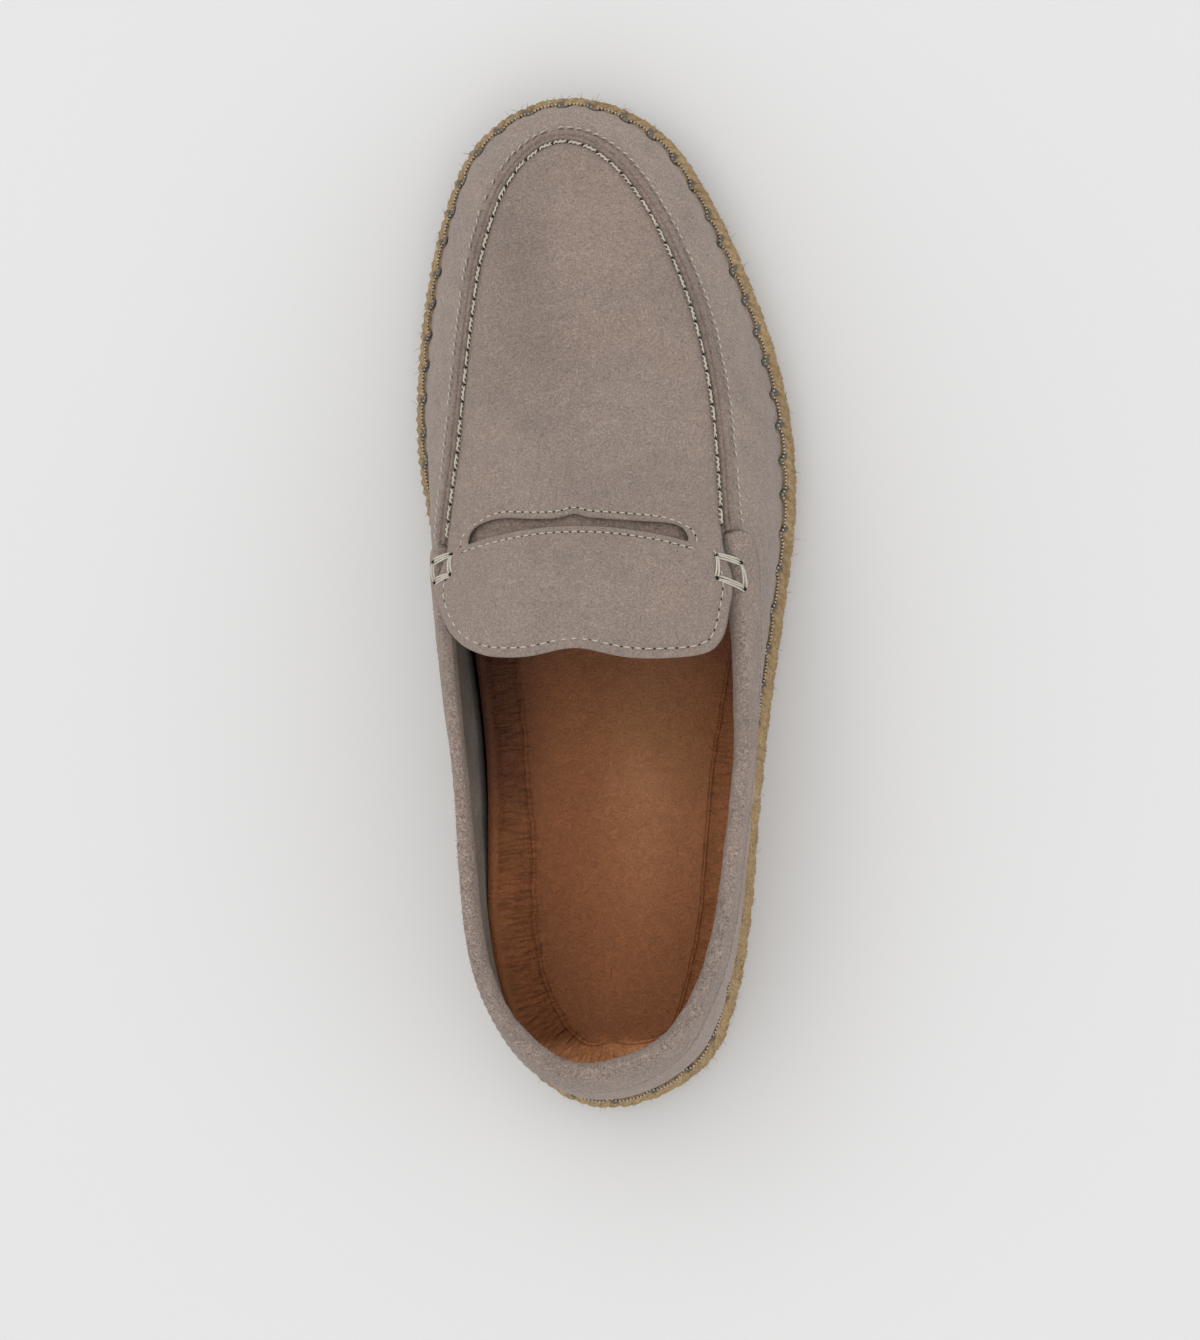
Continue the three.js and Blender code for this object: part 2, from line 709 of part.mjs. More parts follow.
// The room that the wall's upper band takes up, with its clearance.
function wallRoom() {
  const faces = (levels, offset) => levels.map((v) => ring((a) => besideWall(a, v, offset)));
  const outer = faces(WALL_LEVELS.slice(4), GAP);
  const inner = faces(BAND_LEVELS, -WALL - GAP);
  const outerForm = ringSolid([...outer, raised(outer[outer.length - 1], (p) => p.z + GAP)]);
  const innerForm = ringSolid([...inner, raised(inner[inner.length - 1], () => SKY)]);
  return outerForm.subtract(innerForm);
}

// Collar: a padded roll that straddles the topline from corner to corner round the heel.
function collarPoint(angle, out, up) {
  const height = ridgePoint(angle).z - featherPoint(angle).z;
  const p = besideWall(angle, 1 + Math.min(up, 0) / height, out);
  return p.add(new THREE.Vector3(0, 0, Math.max(up, 0)));
}

function makeCollar() {
  const end = ridgeAngle(cornerY - GAP);
  const sections = [];
  for (let i = 0; i <= COLLAR_STATIONS; i += 1) {
    const u = (2 * i) / COLLAR_STATIONS - 1;
    const angle = end * (0.6 * u + 0.4 * Math.sin((Math.PI / 2) * u));
    const y = ridgePoint(angle).y;
    const into = Math.min(1, Math.max(0, (cornerY - GAP - y) / COLLAR_END_ROUND));
    const round = 0.3 + 0.7 * Math.sqrt(1 - (1 - into) ** 2);
    sections.push(COLLAR_SECTION.map(({ out, up }) => collarPoint(angle, out, up * round)));
  }
  const flat = COLLAR_SECTION.map(({ out, up }) => new THREE.Vector2(out, up));
  return sweptSolid(sections, flat).subtract(apronRoom()).subtract(wallRoom());
}

const root = new THREE.Group();

function addPiece(name, solid, color, roughness) {
  const mesh = solid.getMesh();
  const geometry = new THREE.BufferGeometry();
  geometry.setAttribute("position", new THREE.BufferAttribute(mesh.vertProperties, 3));
  geometry.setIndex(new THREE.BufferAttribute(mesh.triVerts, 1));
  geometry.computeVertexNormals();
  const material = new THREE.MeshStandardMaterial({ color, roughness, metalness: 0 });
  material.name = name;
  const piece = new THREE.Mesh(geometry, material);
  piece.name = name;
  root.add(piece);
}

addPiece("outsole", makeOutsole(), 0x6f5a45, 0.8);
addPiece("midsole", makeMidsole(), 0xa9864f, 0.95);
addPiece("footbed", makeFootbed(), 0x8a5636, 0.5);
addPiece("upper", makeUpper(), 0x988a80, 0.95);
addPiece("apron_tongue", makeApron(), 0x9b8c82, 0.95);
addPiece("collar", makeCollar(), 0x9a8880, 0.95);

// The origin: the middle of the shoe's box, on the floor.
const box = new THREE.Box3().setFromObject(root);
const middle = box.getCenter(new THREE.Vector3());
root.children.forEach((piece) => piece.geometry.translate(-middle.x, -middle.y, -box.min.z));

export default root;
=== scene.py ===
import math

import bpy
import numpy as np
from mathutils import Matrix, Vector, noise
from mathutils.geometry import delaunay_2d_cdt


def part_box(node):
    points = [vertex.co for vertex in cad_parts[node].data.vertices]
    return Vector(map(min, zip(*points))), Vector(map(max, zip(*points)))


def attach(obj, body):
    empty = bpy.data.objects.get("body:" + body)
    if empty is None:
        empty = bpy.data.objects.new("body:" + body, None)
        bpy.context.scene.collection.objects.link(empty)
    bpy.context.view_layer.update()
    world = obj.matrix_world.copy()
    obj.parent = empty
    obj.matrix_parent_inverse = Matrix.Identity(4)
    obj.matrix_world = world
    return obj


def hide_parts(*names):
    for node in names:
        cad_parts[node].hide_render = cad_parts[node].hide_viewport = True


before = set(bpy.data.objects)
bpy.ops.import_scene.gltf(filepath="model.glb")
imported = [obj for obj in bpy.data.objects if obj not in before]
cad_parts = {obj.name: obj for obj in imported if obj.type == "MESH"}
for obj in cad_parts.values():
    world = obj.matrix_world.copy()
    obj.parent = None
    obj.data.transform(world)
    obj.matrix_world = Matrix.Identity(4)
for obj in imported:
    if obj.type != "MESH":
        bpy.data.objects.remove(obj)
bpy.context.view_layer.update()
MM = 0.001
TURN = 2 * math.pi
RNG = np.random.default_rng(7)

# Sizes and tables of the solids. The flap's slant and its medial shares, the flare of the slot
# and its inner rise depart from them, after the photograph.
SHOE_LENGTH = 292
BALL_WIDTH = 109
HEEL_THICKNESS = 24
FOREFOOT_THICKNESS = 19
TOE_SPRING = 8
ARCH_RISE = 0.8
BACK_HEIGHT = 53
INSTEP_BOW = 35
OUTSOLE_THICKNESS = 3.6
ROPE_ROWS = 3
WELT_LEDGE = 3.4
WALL = 1.8
WALL_BULGE = 4
BULGE_SKEW = 0.85
SEAM_WIDTH = 3.2
SEAM_HEIGHT = 1.7
SEAM_TOE_SETBACK = 12.5
TOPLINE_HEEL_SETBACK = 12
CORNER_REACH = 163
THROAT_REACH = 153
APRON_THICKNESS = 1.3
TONGUE_THICKNESS = 2.2
TONGUE_HALF_WIDTH = 41.5
TONGUE_REACH = 127.6
TONGUE_WAVE = 3.2
TONGUE_WAVE_WIDTH = 11
TONGUE_SLANT = 0.05
TONGUE_SLANT_RISE = 0.9
FLAP_SHOULDER = 8
SLOT_REACH = 166.2
SLOT_HALF_WIDTH = 31.5
SLOT_HEIGHT = 2.3
SLOT_FLARE = 4.2
SLOT_INNER_RISE = 1.6
SLOT_BOW = 4.6
SLOT_PEAK = 1.1
SLOT_PEAK_WIDTH = 3
SLOT_TILT = -0.035
COLLAR_PAD = 2.2
COLLAR_DROP = 12
COLLAR_CREST = 3
COLLAR_END_ROUND = 9
FOOTBED_THICKNESS = 3.6
FOOTBED_BANK = 5
FOOTBED_BANK_WIDTH = 12
GAP = 0.35
FAN_ROOM = 26
SPRING_START = 0.74
WEDGE_START = 0.28
WEDGE_END = 0.5
ARCH_START = 0.33
ARCH_END = 0.5

HEEL_TIP = -0.03
TOE_TIP = -0.034
# along, medial, lateral
SOLE_PLAN = np.array([
    (0.04, 0.24, 0.222),
    (0.1, 0.32, 0.301),
    (0.18, 0.355, 0.349),
    (0.28, 0.363, 0.383),
    (0.38, 0.372, 0.424),
    (0.48, 0.404, 0.474),
    (0.58, 0.452, 0.517),
    (0.66, 0.477, 0.518),
    (0.74, 0.466, 0.482),
    (0.82, 0.431, 0.415),
    (0.9, 0.367, 0.325),
    (0.96, 0.276, 0.22),
])
RIDGE_HEEL_TIP = -0.023
RIDGE_TOE_TIP = -0.026
# along, medial, lateral
RIDGE_PLAN = np.array([
    (0.026, 0.18, 0.18),
    (0.079, 0.28, 0.28),
    (0.135, 0.327, 0.33),
    (0.222, 0.348, 0.37),
    (0.32, 0.355, 0.404),
    (0.41, 0.367, 0.41),
    (0.504, 0.373, 0.401),
    (0.575, 0.366, 0.384),
    (0.654, 0.34, 0.376),
    (0.729, 0.318, 0.358),
    (0.805, 0.294, 0.32),
    (0.88, 0.26, 0.254),
    (0.955, 0.188, 0.15),
])
# along, height, bulge
WALL_PROFILE = np.array([
    (0, 1, 0.75),
    (0.026, 0.99, 0.75),
    (0.079, 0.934, 0.72),
    (0.135, 0.858, 0.7),
    (0.222, 0.783, 0.65),
    (0.32, 0.743, 0.62),
    (0.41, 0.753, 0.62),
    (0.504, 0.774, 0.7),
    (0.575, 0.785, 0.85),
    (0.654, 0.71, 1),
    (0.729, 0.632, 1.1),
    (0.805, 0.564, 1.1),
    (0.88, 0.477, 1.05),
    (0.955, 0.358, 0.95),
    (1, 0.287, 0.85),
])
# along, lift, bow, double
APRON_PROFILE = np.array([
    (0.42, 3.1, 1.13, 1),
    (0.45, 2.85, 1.1, 1),
    (0.5, 2.5, 1, 1),
    (0.535, 1.9, 0.95, 1),
    (0.56, 1, 0.91, 0.7),
    (0.59, 0.66, 0.84, 0.2),
    (0.64, 0.6, 0.72, 0),
    (0.705, 0.56, 0.57, 0),
    (0.775, 0.54, 0.47, 0),
    (0.84, 0.52, 0.44, 0),
    (0.91, 0.5, 0.4, 0),
    (0.96, 0.5, 0.38, 0),
])
# along, medial, lateral
TONGUE_PLAN = np.array([
    (0.004, 0.55, 0.62),
    (0.012, 0.7, 0.83),
    (0.035, 0.85, 0.94),
    (0.08, 0.955, 0.995),
    (0.16, 1, 1.02),
])
# along, bank
BANK_PROFILE = np.array([(0, 1), (0.3, 1), (0.48, 0.9), (0.62, 0.45), (0.8, 0.2), (1, 0.15)])


# Curves and surfaces of the solids, over numpy arrays.

def smooth(xs, vs, at):
    """The smooth curve through a table's rows, held at both ends."""
    xs, vs, at = np.asarray(xs, float), np.asarray(vs, float), np.asarray(at, float)
    slopes = np.empty(len(xs))
    slopes[1:-1] = (vs[2:] - vs[:-2]) / (xs[2:] - xs[:-2])
    slopes[0] = (vs[1] - vs[0]) / (xs[1] - xs[0])
    slopes[-1] = (vs[-1] - vs[-2]) / (xs[-1] - xs[-2])
    i = np.clip(np.searchsorted(xs, at, side="right") - 1, 0, len(xs) - 2)
    span = xs[i + 1] - xs[i]
    t = np.clip((at - xs[i]) / span, 0, 1)
    h = t * t * (3 - 2 * t)
    bend = slopes[i] * span * t * (1 - t) ** 2 + slopes[i + 1] * span * t * t * (t - 1)
    return vs[i] + (vs[i + 1] - vs[i]) * h + bend


def round_angles(n):
    return np.linspace(0, TURN, n, endpoint=False)


def profile(table, column, at):
    return smooth(table[:, 0], table[:, column], at)


def ease(t):
    c = np.clip(t, 0, 1)
    return c * c * (3 - 2 * c)


def bell(distance, width):
    return np.exp(-((distance / width) ** 2))


def spot(x, y, cx, cy, rx, ry):
    return np.exp(-(((x - cx) / rx) ** 2) - ((y - cy) / ry) ** 2)


def arc_along(path):
    """Length along a path of points, from 0 at its start."""
    return np.concatenate([[0], np.cumsum(np.linalg.norm(np.diff(path, axis=0), axis=1))])


def plan_loop(table, heel_tip, toe_tip):
    angle = np.arccos(np.clip(1 - 2 * table[:, 0], -1, 1))
    lateral = np.stack([angle, table[:, 2]], 1)
    medial = np.stack([-angle, -table[:, 1]], 1)[::-1]
    turn = np.array([TURN, 0])
    knots = np.concatenate([
        lateral[-2:] - turn, [(-math.pi, toe_tip)], medial, [(0, heel_tip)], lateral,
        [(math.pi, toe_tip)], medial + turn,
    ])
    return lambda a: profile(knots, 1, np.where(a > math.pi, a - TURN, a))


HALF = SHOE_LENGTH / 2
sole_x = plan_loop(SOLE_PLAN, HEEL_TIP, TOE_TIP)
ridge_x = plan_loop(RIDGE_PLAN, RIDGE_HEEL_TIP, RIDGE_TOE_TIP)
flap_x = plan_loop(TONGUE_PLAN, 0.0, 0.0)
RIDGE_HEEL = -HALF + TOPLINE_HEEL_SETBACK
RIDGE_TOE = HALF - SEAM_TOE_SETBACK
RIDGE_MID = (RIDGE_HEEL + RIDGE_TOE) / 2
RIDGE_HALF = (RIDGE_TOE - RIDGE_HEEL) / 2
CORNER_Y = CORNER_REACH - HALF
THROAT_Y = THROAT_REACH - HALF
TONGUE_Y = TONGUE_REACH - HALF
APRON_LENGTH = RIDGE_TOE - TONGUE_Y


def along_of(y):
    return (y + HALF) / SHOE_LENGTH


def spring_of(s):
    return TOE_SPRING * (np.maximum(0, s - SPRING_START) / (1 - SPRING_START)) ** 2


def ground_z(y):
    s = along_of(y)
    arch = np.maximum(0, (s - ARCH_START) * (ARCH_END - s)) * 4 / (ARCH_END - ARCH_START) ** 2
    return spring_of(s) + ARCH_RISE * arch


def sole_top_z(y):
    s = along_of(y)
    drop = ease((s - WEDGE_START) / (WEDGE_END - WEDGE_START))
    return HEEL_THICKNESS + (FOREFOOT_THICKNESS - HEEL_THICKNESS) * drop + spring_of(s)


def unit(v):
    return v / np.maximum(np.linalg.norm(v, axis=-1, keepdims=True), 1e-9)


def points(x, y, z):
    x, y, z = np.broadcast_arrays(x, y, z)
    return np.stack([x, y, z], -1).astype(float)


def sole_point(angle, inset):
    """x and y of the sole's outline moved inward, and the outward direction there."""
    step = 0.01
    y = -np.cos(angle) * HALF
    x = sole_x(angle) * BALL_WIDTH
    tx = (sole_x(wrap(angle + step)) - sole_x(wrap(angle - step))) * BALL_WIDTH
    ty = np.sin(angle) * HALF * 2 * step
    length = np.hypot(tx, ty)
    tx, ty = tx / length, ty / length
    return x - ty * inset, y + tx * inset, ty, -tx


def wrap(angle):
    return np.mod(angle, TURN)


def ridge_angle(y):
    return np.arccos(np.clip((RIDGE_MID - y) / RIDGE_HALF, -1, 1))


def ridge_point(angle):
    y = RIDGE_MID - np.cos(angle) * RIDGE_HALF
    share = (1 - np.cos(angle)) / 2
    rise = profile(WALL_PROFILE, 1, share) * BACK_HEIGHT
    return points(ridge_x(wrap(angle)) * BALL_WIDTH, y, sole_top_z(y) + rise)


def wall_point(angle, v):
    angle, v = np.broadcast_arrays(np.asarray(angle, float), np.asarray(v, float))
    fx, fy, nx, ny = sole_point(angle, WELT_LEDGE)
    foot = points(fx, fy, sole_top_z(fy) + GAP)
    share = (1 - np.cos(angle)) / 2
    shape = np.sign(v) * np.sin(math.pi * np.abs(v) ** BULGE_SKEW)
    bulge = profile(WALL_PROFILE, 2, share) * WALL_BULGE * shape
    out = points(nx, ny, 0.0)
    return foot + (ridge_point(angle) - foot) * v[..., None] + out * bulge[..., None]


def wall_frame(angle, v):
    """Unit vectors at the wall: round the shoe, up the wall and outward."""
    step = 0.02
    level = np.clip(v, step, 1)
    around = wall_point(angle + step, level) - wall_point(angle - step, level)
    up = wall_point(angle, level + step) - wall_point(angle, level - step)
    return unit(around), unit(up), unit(np.cross(around, up))


def beside_wall(angle, v, offset):
    normal = wall_frame(angle, v)[2]
    return wall_point(angle, v) + normal * np.broadcast_to(offset, np.shape(normal)[:-1])[..., None]


def apron_z(x, y):
    angle = ridge_angle(y)
    low = ridge_x(wrap(-angle)) * BALL_WIDTH
    high = ridge_x(angle) * BALL_WIDTH
    s = along_of(y)
    bow = profile(APRON_PROFILE, 2, s) * INSTEP_BOW
    lift = profile(APRON_PROFILE, 1, s) * COLLAR_CREST
    return ridge_point(angle)[..., 2] + lift + bow * (x - low) * (high - x) * 4 / BALL_WIDTH ** 2


def apron_slopes(x, y):
    step = 0.5
    dx = (apron_z(x + step, y) - apron_z(x - step, y)) / (2 * step)
    dy = (apron_z(x, y + step) - apron_z(x, y - step)) / (2 * step)
    return dx, dy


def under_apron(x, y, depth):
    dx, dy = apron_slopes(x, y)
    return apron_z(x, y) - depth * np.sqrt(1 + dx * dx + dy * dy)


def apron_normal(x, y):
    dx, dy = apron_slopes(x, y)
    return unit(points(-dx, -dy, 1.0))


def apron_thickness(y):
    double = profile(APRON_PROFILE, 3, along_of(y))
    return APRON_THICKNESS + (TONGUE_THICKNESS - APRON_THICKNESS) * double


def ridge_inset(angle, inset):
    step = 0.01
    along = ridge_point(angle + step) - ridge_point(angle - step)
    out = unit(points(along[..., 1], -along[..., 0], 0.0))
    return ridge_point(angle) - out * np.broadcast_to(inset, np.shape(out)[:-1])[..., None]


def spine_point(y, rear):
    clamped = np.clip(y, rear, RIDGE_TOE - FAN_ROOM)
    angle = ridge_angle(clamped)
    return (ridge_x(angle) + ridge_x(wrap(-angle))) / 2 * BALL_WIDTH, clamped


def apron_edge(angle):
    """The apron's outline with the tongue flap, in plan."""
    y = TONGUE_Y + (1 - np.cos(angle)) / 2 * APRON_LENGTH
    side = np.where(angle < math.pi, 1, -1)
    seam = ridge_inset(side * ridge_angle(y), SEAM_WIDTH / 2 + GAP)
    blend = ease((CORNER_Y + GAP / 2 - y) / FLAP_SHOULDER)
    x = seam[..., 0] + (flap_x(angle) * TONGUE_HALF_WIDTH - seam[..., 0]) * blend
    yy = seam[..., 1] + (y - seam[..., 1]) * blend
    fade = 1 - ease((yy - TONGUE_Y) / FAN_ROOM)
    wave = TONGUE_WAVE * bell(x, TONGUE_WAVE_WIDTH)
    return x, yy + fade * (wave + TONGUE_SLANT_RISE - TONGUE_SLANT * x)


def slot_low(x):
    return SLOT_REACH - HALF - SLOT_BOW * (x / SLOT_HALF_WIDTH) ** 2 + SLOT_TILT * x


def slot_high(x):
    u = np.clip(x / SLOT_HALF_WIDTH, -1, 1)
    ends = np.sqrt(np.maximum(0, 1 - u ** 8))
    full = (SLOT_HEIGHT + SLOT_FLARE * u ** 4) * ends
    full = full + SLOT_INNER_RISE * bell(u + 0.68, 0.26) * ends
    return slot_low(x) + full + SLOT_PEAK * bell(x, SLOT_PEAK_WIDTH)


# The frame's shift: the middle of the roped sole's box lies on the origin.
_ring = np.linspace(0, TURN, 2000)
_x = sole_point(_ring, 0)[0]
SHIFT = np.array([-(_x.max() + _x.min()) / 2, 0, 0])
assert abs((_x.max() + SHIFT[0]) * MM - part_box("midsole")[1].x) < 0.001


# Small helpers for meshes.

def wobble(p, size, seed):
    """Smooth noise from -1 to 1 at points in millimetres."""
    flat = np.asarray(p, float).reshape(-1, 3) / size + seed * 17.3
    values = [noise.noise(Vector(q)) for q in flat]
    return np.array(values).reshape(np.shape(p)[:-1])


def new_object(name, data):
    obj = bpy.data.objects.new(name, data)
    bpy.context.scene.collection.objects.link(obj)
    return obj


def make_mesh(name, verts, faces, materials, face_slots=None, uv=None):
    """A smooth-shaded object from vertices in the shoe's millimetres."""
    mesh = bpy.data.meshes.new(name)
    flat = (np.asarray(verts, float).reshape(-1, 3) + SHIFT) * MM
    mesh.from_pydata(flat.tolist(), [], [tuple(map(int, f)) for f in faces])
    for material in materials:
        mesh.materials.append(material)
    if face_slots is not None:
        mesh.polygons.foreach_set("material_index", np.asarray(face_slots, np.int32))
    if uv is not None:
        layer = mesh.uv_layers.new(name="along")
        loops = np.zeros(len(mesh.loops), np.int32)
        mesh.loops.foreach_get("vertex_index", loops)
        layer.data.foreach_set("uv", np.asarray(uv, float)[loops].astype(np.float32).ravel())
    mesh.polygons.foreach_set("use_smooth", np.ones(len(mesh.polygons), bool))
    mesh.update()
    return new_object(name, mesh)


def grid_faces(rows, cols, wrap_rows=False, wrap_cols=False, base=0):
    """Quads of a grid whose columns run round and whose rows run up; outward by that turn."""
    r = np.arange(rows if wrap_rows else rows - 1)
    c = np.arange(cols if wrap_cols else cols - 1)
    rr, cc = np.meshgrid(r, c, indexing="ij")
    r2, c2 = (rr + 1) % rows, (cc + 1) % cols
    quads = np.stack([rr * cols + cc, rr * cols + c2, r2 * cols + c2, r2 * cols + cc], -1)
    return (quads.reshape(-1, 4) + base).tolist()


def ladder_faces(n, base, up):
    """Closes a ring of n points, whose two sides mirror each other, with quads across it."""
    faces = []
    for i in range(n // 2):
        quad = [base + i, base + i + 1, base + n - i - 1, base + (n - i) % n]
        quad = list(dict.fromkeys(quad))
        if len(quad) > 2:
            faces.append(quad if up else quad[::-1])
    return faces


def closed_stack(rings):
    """Vertices and faces of rings run up one over the other, with both ends closed."""
    n = len(rings[0])
    faces = grid_faces(len(rings), n, wrap_cols=True)
    faces += ladder_faces(n, 0, False) + ladder_faces(n, (len(rings) - 1) * n, True)
    return np.concatenate(rings), faces


class Tubes:
    """Collects many small tubes into one mesh."""

    def __init__(self):
        self.verts, self.faces, self.uvs, self.count = [], [], [], 0

    def add(self, path, radius, sides=6, up=None, plies=0, twist=0.0, start=0.0, flat=1.0):
        path = np.asarray(path, float)
        n = len(path)
        tangent = unit(np.gradient(path, axis=0))
        up = points(0, 0, 1.0) if up is None else np.asarray(up, float)
        up = np.broadcast_to(up, path.shape)
        side = unit(np.cross(tangent, up))
        up = np.cross(side, tangent)
        step = arc_along(path)
        phi = round_angles(sides)
        radius = np.broadcast_to(radius, n)[:, None] * np.ones(sides)
        if plies:
            turn = plies * (phi[None, :] - TURN * (step[:, None] + start) / twist)
            radius = radius * (0.8 + 0.26 * np.abs(np.cos(turn / 2)))
        ring = np.cos(phi)[None, :, None] * side[:, None, :]
        ring = ring + flat * np.sin(phi)[None, :, None] * up[:, None, :]
        verts = path[:, None, :] + ring * radius[..., None]
        base = self.count
        self.verts.append(verts.reshape(-1, 3))
        uv = points(step[:, None], phi[None, :] / TURN, 0)
        self.uvs.append(uv[..., :2].reshape(-1, 2))
        self.faces += [f[::-1] for f in grid_faces(n, sides, wrap_cols=True, base=base)]
        self.faces.append(list(range(base, base + sides)))
        self.faces.append(list(range(base + (n - 1) * sides, base + n * sides))[::-1])
        self.count += n * sides

    def build(self, name, material, slot=None):
        verts, uvs = np.concatenate(self.verts), np.concatenate(self.uvs)
        part(make_mesh(name, verts, self.faces, [material], uv=uvs), None)


def stitch(tubes, a, b, normal, radius, lift, samples=9, sides=8):
    """A stitch from a to b that rises from its holes and lies over the surface."""
    t = np.linspace(0, 1, samples)[:, None]
    arch = 1 - np.abs(2 * t - 1) ** 3
    path = a + (b - a) * t + np.asarray(normal) * (lift * arch - radius * 0.9 * (1 - arch))
    taper = radius * (0.55 + 0.45 * np.clip(4 * np.minimum(t, 1 - t)[:, 0], 0, 1))
    tubes.add(path, taper, sides=sides, up=normal, plies=PLIES, twist=PLY_TWIST)


def even_angles(point_of, low, high, pitch, closed=False):
    """Angles that space points evenly along a curve, about pitch apart."""
    dense = np.linspace(low, high, 3000)
    arc = arc_along(point_of(dense))
    count = int(round(arc[-1] / pitch))
    at = np.linspace(0, arc[-1], count + 1)
    found = np.interp(at, arc, dense)
    return found[:-1] if closed else found


# Materials.

def new_material(name):
    material = bpy.data.materials.new(name)
    material.use_nodes = True
    tree = material.node_tree
    return material, tree, tree.nodes["Principled BSDF"]


def finish_material(tree, shader, color, roughness, specular, normal):
    tree.links.new(color, shader.inputs["Base Color"])
    tree.links.new(roughness, shader.inputs["Roughness"])
    if specular is not None:
        shader.inputs["Specular IOR Level"].default_value = specular
    tree.links.new(normal, shader.inputs["Normal"])


def node(tree, kind, inputs=None, **attributes):
    n = tree.nodes.new(kind)
    for key, value in attributes.items():
        setattr(n, key, value)
    for key, value in (inputs or {}).items():
        if isinstance(value, bpy.types.NodeSocket):
            tree.links.new(value, n.inputs[key])
        else:
            n.inputs[key].default_value = value
    return n


def coordinates(tree):
    outputs = node(tree, "ShaderNodeTexCoord").outputs
    return outputs["Object"], outputs["UV"]


def ramp(tree, fac, stops):
    n = node(tree, "ShaderNodeValToRGB", {"Fac": fac})
    elements = n.color_ramp.elements
    while len(elements) < len(stops):
        elements.new(0.5)
    for element, (position, color) in zip(elements, stops):
        element.position = position
        element.color = (*color, 1)
    return n.outputs["Color"]


def cloud(tree, where, scale, detail=4.0, roughness=0.5, distortion=0.0):
    inputs = {
        "Vector": where, "Scale": scale, "Detail": detail, "Roughness": roughness,
        "Distortion": distortion,
    }
    return node(tree, "ShaderNodeTexNoise", inputs).outputs["Fac"]


def mix(tree, fac, a, b, blend="MIX"):
    n = tree.nodes.new("ShaderNodeMix")
    n.data_type = "RGBA"
    n.blend_type = blend
    for key, value in ((0, fac), (6, a), (7, b)):
        if isinstance(value, bpy.types.NodeSocket):
            tree.links.new(value, n.inputs[key])
        elif key == 0:
            n.inputs[key].default_value = value
        else:
            n.inputs[key].default_value = (*value, 1)
    return n.outputs[2]


def math_node(tree, operation, a, b=0.0):
    return node(tree, "ShaderNodeMath", {0: a, 1: b}, operation=operation).outputs[0]


def spread(tree, fac, low, high):
    inputs = {"Value": fac, "From Min": 0.3, "From Max": 0.7, "To Min": low, "To Max": high}
    return node(tree, "ShaderNodeMapRange", inputs).outputs["Result"]


def bump(tree, height, distance, strength=1.0, below=None):
    inputs = {"Height": height, "Distance": distance, "Strength": strength}
    if below is not None:
        inputs["Normal"] = below
    return node(tree, "ShaderNodeBump", inputs).outputs["Normal"]


def grade(tree, color, fac, stops):
    """Color multiplied by a grey that follows fac."""
    shade = ramp(tree, fac, [(at, (v, v, v)) for at, v in stops])
    return mix(tree, 1.0, color, shade, "MULTIPLY")


def suede(name, base, nap_size=1500.0, nap_depth=0.00035, contrast=1.0, sheen=0.25,
          with_painted_shading=False):
    """Brushed suede: blotches from the brushed nap, short wavy fibres and a soft sheen."""
    material, tree, shader = new_material(name)
    where = coordinates(tree)[0]
    blotch = cloud(tree, where, 30, 3, 0.55, 0.8)
    patch = cloud(tree, where, 150, 4, 0.6, 1.2)
    grain = cloud(tree, where, nap_size, 5, 0.7, 0.6)
    streak = cloud(tree, where, nap_size * 0.45, 4, 0.65, 2.2)
    pink = tuple(c * k for c, k in zip(base, (1.0, 0.94, 0.91)))
    color = mix(tree, spread(tree, blotch, 0.0, 1.0), base, pink)
    color = grade(tree, color, blotch, [(0.3, 0.88), (0.5, 0.99), (0.7, 1.07)])
    color = grade(tree, color, patch, [(0.32, 0.95), (0.68, 1.05)])
    color = grade(tree, color, streak, [(0.34, 1 - 0.17 * contrast), (0.66, 1 + 0.1 * contrast)])
    color = grade(tree, color, grain, [(0.34, 1 - 0.26 * contrast), (0.66, 1 + 0.17 * contrast)])
    # painted shade and painted light from the 'tone' attribute, multiplied into the colour
    if with_painted_shading:
        painted_shading = node(tree, "ShaderNodeAttribute", attribute_name="tone").outputs["Color"]
        color = mix(tree, 1.0, color, painted_shading, "MULTIPLY")
    shader.inputs["Sheen Weight"].default_value = sheen
    shader.inputs["Sheen Roughness"].default_value = 0.5
    shader.inputs["Sheen Tint"].default_value = (0.95, 0.88, 0.84, 1)
    coarse = bump(tree, patch, 0.0005, 0.5)
    worms = bump(tree, streak, nap_depth, 0.8, coarse)
    nap = bump(tree, grain, nap_depth, 0.9, worms)
    finish_material(tree, shader, color, spread(tree, grain, 0.85, 0.98), 0.14, nap)
    return material


